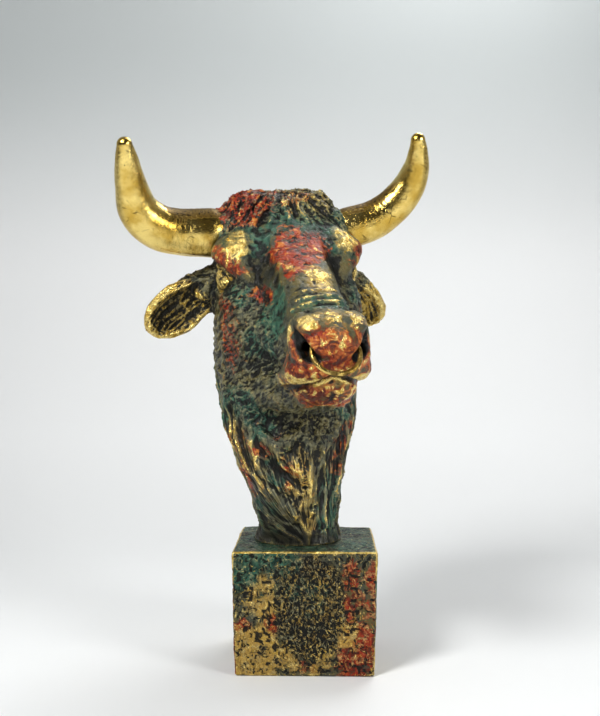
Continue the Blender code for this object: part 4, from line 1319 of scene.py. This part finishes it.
def patina(name):
    """Washes over grey, gold dragged over what stands up, black in what lies low. The black in the
    hollows and recesses is partly painted shade; the orange on the muzzle and the gold on the eyeball
    are partly painted highlights.
    """
    n = Nodes(name)
    mottle, fleck = n.noise(0.012, 4.0), n.noise(0.0042, 3.0, 0.6)
    brush = n.noise(0.0075, 5.0, 0.65, 0.8)
    poll, neck, muzzle, bare, eyeball = map(n.attribute, ("poll", "neck", "muzzle", "bare", "eyeball"))
    crest, hollow, gold, red = map(n.attribute, ("crest", "hollow", "gold", "red"))

    def strokes(key, sizes):
        return n.noise(1.0, 3.0, 0.55, 0.6, n.scaled(n.attribute(key, "Vector"), sizes))

    stroke = n.between(poll, strokes("neck_strokes", NECK_STROKE), strokes("poll_strokes", POLL_STROKE))
    stroke = n.between(neck, strokes("face_strokes", FACE_STROKE), stroke)
    colour = washes(n, mottle, brush, fleck, 0.45)
    # Orange on what stands up on the nose pad and lips: partly the paint's own orange, partly a painted
    # highlight
    orange_and_highlight = n.range(n.plus(brush, (crest, 0.32)), 0.70, 0.90, 0.0, 0.75)
    colour = n.mix(n.times(orange_and_highlight, muzzle), colour, ORANGE)
    hairs = n.range(n.plus(stroke, (crest, 0.12), (red, -0.06)), 0.54, 0.70, 0.0, 0.62)
    colour = n.mix(n.times(hairs, n.rest(bare)), colour, STRAW)
    stroke = n.between(bare, stroke, n.plus(0.0, (stroke, 0.3), (brush, 0.7)))
    # Black where the relief lies low: dark paint in the grooves and between the strokes, with painted
    # shade in the deep hollows that the form closes in
    standing = n.plus(crest, (stroke, 1.4), (hollow, -0.25))
    shade = n.most(n.range(standing, 1.06, 0.80), n.range(hollow, 0.45, 1.05))
    shade = n.most(shade, n.range(n.plus(stroke, (crest, 0.15), (muzzle, 0.06)), 0.535, 0.450))
    colour = n.mix(n.times(shade, 0.96), colour, BLACK)
    # Black in the recesses round the eye, at the neck's foot, and in the nostrils, mouth and bridge
    # groove: partly dark paint, partly painted shade
    soot = n.most(n.attribute("soot"), n.attribute("nostril"))
    colour = n.mix(soot, colour, BLACK)
    gilt = n.plus(standing, (gold, 0.40), (brush, 1.1), (neck, 0.10), (n.attribute("ear"), 0.60))
    gilt = n.range(gilt, 2.22, 2.40)
    gilt = n.most(gilt, n.range(n.plus(n.attribute("lid"), (brush, 1.0)), 1.05, 1.30))
    gilt = n.times(gilt, n.rest(soot))
    # Gold flecks on the black eyeball: partly gilt, partly a painted highlight
    gilt = n.most(gilt, n.range(n.plus(eyeball, (fleck, 1.0)), 1.36, 1.50))
    colour = n.mix(eyeball, colour, BLACK)
    leaf = n.mix(n.range(n.plus(fleck, (crest, 0.2)), 0.52, 0.72), GOLD, PALE_GOLD)
    n.give(base_color=n.mix(gilt, colour, leaf), metallic=n.times(gilt, 0.70))
    n.give(roughness=n.range(gilt, 0.0, 1.0, 0.34, 0.26), specular_ior_level=0.45)
    n.bump(n.plus(0.0, (stroke, 1.0), (brush, 0.5), (fleck, 0.4)), 0.0024)
    return n.material


def plinth_paint(name):
    """Washes with black pits, fine pale scribble on black in the middle, and gold along the edges."""
    n = Nodes(name)
    mottle, fleck = n.noise(0.012, 4.0), n.noise(0.0034, 3.0, 0.6)
    brush = n.noise(0.0065, 5.0, 0.70, 0.8)
    line = n.line(n.noise(1.0, 2.0, 0.5, 1.6, n.scaled(n.place, (0.0024, 0.0024, 0.0046))), 0.060, 0.015)
    crest, scribble, edge, gold, teal = map(n.attribute, ("crest", "scribble", "edge", "gold", "teal"))
    colour = washes(n, mottle, brush, fleck, 0.9)
    colour = n.mix(n.range(n.plus(fleck, (brush, 1.0)), 1.02, 1.18, 0.0, 0.40), colour, STRAW)
    scribbled = n.range(n.plus(scribble, (mottle, 1.2), (fleck, 0.5)), 0.95, 1.45)
    ground = n.mix(n.range(teal, 0.2, 0.9), BLACK, DEEP_TEAL)
    written = n.mix(n.times(line, 0.95), ground, n.mix(n.range(brush, 0.40, 0.60), STRAW, OCHRE))
    colour = n.mix(scribbled, colour, written)
    pits = n.range(n.plus(n.noise(0.0046, 3.0, 0.6, 1.2), (crest, 0.12), (mottle, 0.3)), 0.645, 0.605)
    low = n.most(n.range(crest, 0.24, 0.08), pits)
    colour = n.mix(n.times(low, 0.95), colour, BLACK)
    veins = n.line(n.noise(0.0080, 3.0, 0.6, 1.5), 0.020, 0.006)
    gilt = n.range(n.plus(crest, (veins, 0.60), (gold, 0.30), (brush, 1.0)), 1.55, 1.80)
    gilt = n.most(gilt, n.range(n.plus(edge, (brush, 1.0)), 0.95, 1.25))
    colour = n.mix(gilt, colour, n.mix(n.range(fleck, 0.42, 0.58), GOLD, PALE_GOLD))
    n.give(base_color=colour, metallic=n.times(gilt, 0.70))
    n.give(roughness=n.range(gilt, 0.0, 1.0, 0.40, 0.30), specular_ior_level=0.40)
    n.bump(n.plus(0.0, (line, 0.4), (brush, 0.5), (low, -1.0), (fleck, 0.5)), 0.0012)
    return n.material


def gilding(name, leaf=True):
    """Gold with brown rubbed into streaks and specks, and into the seams of the leaf if it has any. On
    the horns the brown is also a painted dark reflection on their upper sides near the root.
    """
    n = Nodes(name)
    rub = n.attribute("rub")
    cloud, fleck = n.noise(0.016, 4.0), n.noise(0.0016, 3.0, 0.7)
    streak = n.noise(0.006, 5.0, 0.7, 1.2)
    colour = n.mix(n.range(cloud, 0.35, 0.70), GOLD, PALE_GOLD)
    # Tobacco brown where rubbed: real wear, and on the horns also a painted dark reflection on their
    # upper sides
    stain_and_dark_reflection = n.range(n.plus(0.0, (rub, 0.85), (streak, 0.8)), 0.54, 0.86)
    colour = n.mix(n.times(stain_and_dark_reflection, 0.9), colour, TOBACCO)
    specks = n.range(n.plus(fleck, (rub, 0.16)), 0.66, 0.74)
    colour = n.mix(specks, colour, BROWN)
    if leaf:
        seams = n.times(n.range(n.cracks(0.011), 0.035, 0.012), n.range(n.noise(0.010, 2.0), 0.52, 0.66))
        colour = n.mix(n.times(seams, 0.8), colour, BROWN)
    matt = n.most(stain_and_dark_reflection, specks)
    n.give(base_color=colour, metallic=n.range(matt, 0.0, 1.0, 1.0, 0.65))
    n.give(roughness=n.range(matt, 0.0, 1.0, 0.22, 0.45))
    n.bump(n.plus(0.0, (streak, 1.0), (fleck, 0.35)), 0.00035)
    return n.material


def clad(obj, material):
    obj.data.materials.clear()
    obj.data.materials.append(material)


def build_floor(width=3.2, front=-1.6, back=0.9, rise=2.4, bend=0.5, steps=16):
    """A pale sheet that runs up into the wall behind, greyer towards its top as painted shade, and a
    little darker on the flat than on the bend.
    """
    turns = np.linspace(0, 0.5 * math.pi, steps)
    curve = [(back - bend + bend * math.sin(t), bend - bend * math.cos(t)) for t in turns]
    profile = [(front, 0.0), *curve, (back, rise)]
    points = [(x, y, z) for x in (-0.5 * width, 0.5 * width) for y, z in profile]
    count = len(profile)
    mesh = bpy.data.meshes.new("floor")
    mesh.from_pydata(points, [], [(i, count + i, count + i + 1, i + 1) for i in range(count - 1)])
    mesh.shade_smooth()
    obj = bpy.data.objects.new("floor", mesh)
    bpy.context.scene.collection.objects.link(obj)
    n = Nodes("paper")
    parts = n.add("ShaderNodeSeparateXYZ")
    n.link(n.place, parts.inputs[0])
    height = parts.outputs["Z"]
    # dim is painted shade: the sheet darkens towards its top as if the light fell off there
    dim = n.range(n.plus(height, (n.noise(0.5, 2.0), 0.02)), 0.36, 0.78)
    pale = n.mix(n.range(height, 0.0, 0.12), (0.79, 0.80, 0.80), (0.845, 0.855, 0.855))
    n.give(base_color=n.mix(dim, pale, (0.58, 0.61, 0.61)), roughness=0.8)
    clad(obj, n.material)


# The middle of the bust, and the lights aimed at it: place, size across and watts

BUST_MIDDLE = (0.0, 0.0, 0.22)
LIGHTS = {
    "key": ((-0.65, -0.85, 1.05), 0.42, 15),
    "fill": ((0.95, -0.75, 0.55), 0.50, 7),
    "back": ((0.30, 0.60, 1.25), 0.60, 6),
}


def add_light(name, place, size, watts):
    data = bpy.data.lights.new(name, "AREA")
    data.shape, data.size, data.energy = "DISK", size, watts
    obj = bpy.data.objects.new(name, data)
    bpy.context.scene.collection.objects.link(obj)
    obj.location = place
    obj.rotation_euler = Vector(np.subtract(BUST_MIDDLE, place)).to_track_quat("-Z", "Y").to_euler()


def add_studio():
    """Soft lights, and a world that is dim behind the camera and bright behind the bust."""
    scene = bpy.context.scene
    world = bpy.data.worlds.new("studio")
    scene.world = world
    world.use_nodes = True
    nodes, links = world.node_tree.nodes, world.node_tree.links
    backdrop = nodes["Background"]
    backdrop.inputs["Color"].default_value = (0.92, 0.92, 0.92, 1.0)
    kinds = ("TexCoord", "SeparateXYZ", "MapRange")
    way, parts, ramp = (nodes.new("ShaderNode" + kind) for kind in kinds)
    for name, number in (("From Min", -0.5), ("From Max", 0.4), ("To Min", 0.06), ("To Max", 0.50)):
        ramp.inputs[name].default_value = number
    links.new(way.outputs["Generated"], parts.inputs["Vector"])
    links.new(parts.outputs["Y"], ramp.inputs["Value"])
    links.new(ramp.outputs["Result"], backdrop.inputs["Strength"])
    for name, light in LIGHTS.items():
        add_light(name, *light)
    scene.view_settings.view_transform = "Standard"
    scene.view_settings.gamma, scene.view_settings.exposure = 0.84, 0.12


def add_camera(place=(0.014, -0.724, 0.2257), turn=1.46, lens=47.97):
    """The photograph's camera: level, and turned a little to the left; turn is in degrees."""
    data = bpy.data.cameras.new("camera")
    data.sensor_width, data.lens = 36.0, lens
    obj = bpy.data.objects.new("camera", data)
    obj.location = place
    obj.rotation_euler = (math.radians(90), 0, math.radians(turn))
    bpy.context.scene.collection.objects.link(obj)
    bpy.context.scene.camera = obj


def main():
    clad(build_casting(), patina("patina_paint"))
    clad(build_plinth(), plinth_paint("plinth_paint"))
    gilt = gilding("gold_leaf")
    for name in HORNS:
        clad(build_horn(name), gilt)
    clad(build_ring(), gilding("ring_gold", leaf=False))
    build_floor()
    add_studio()
    add_camera()


main()
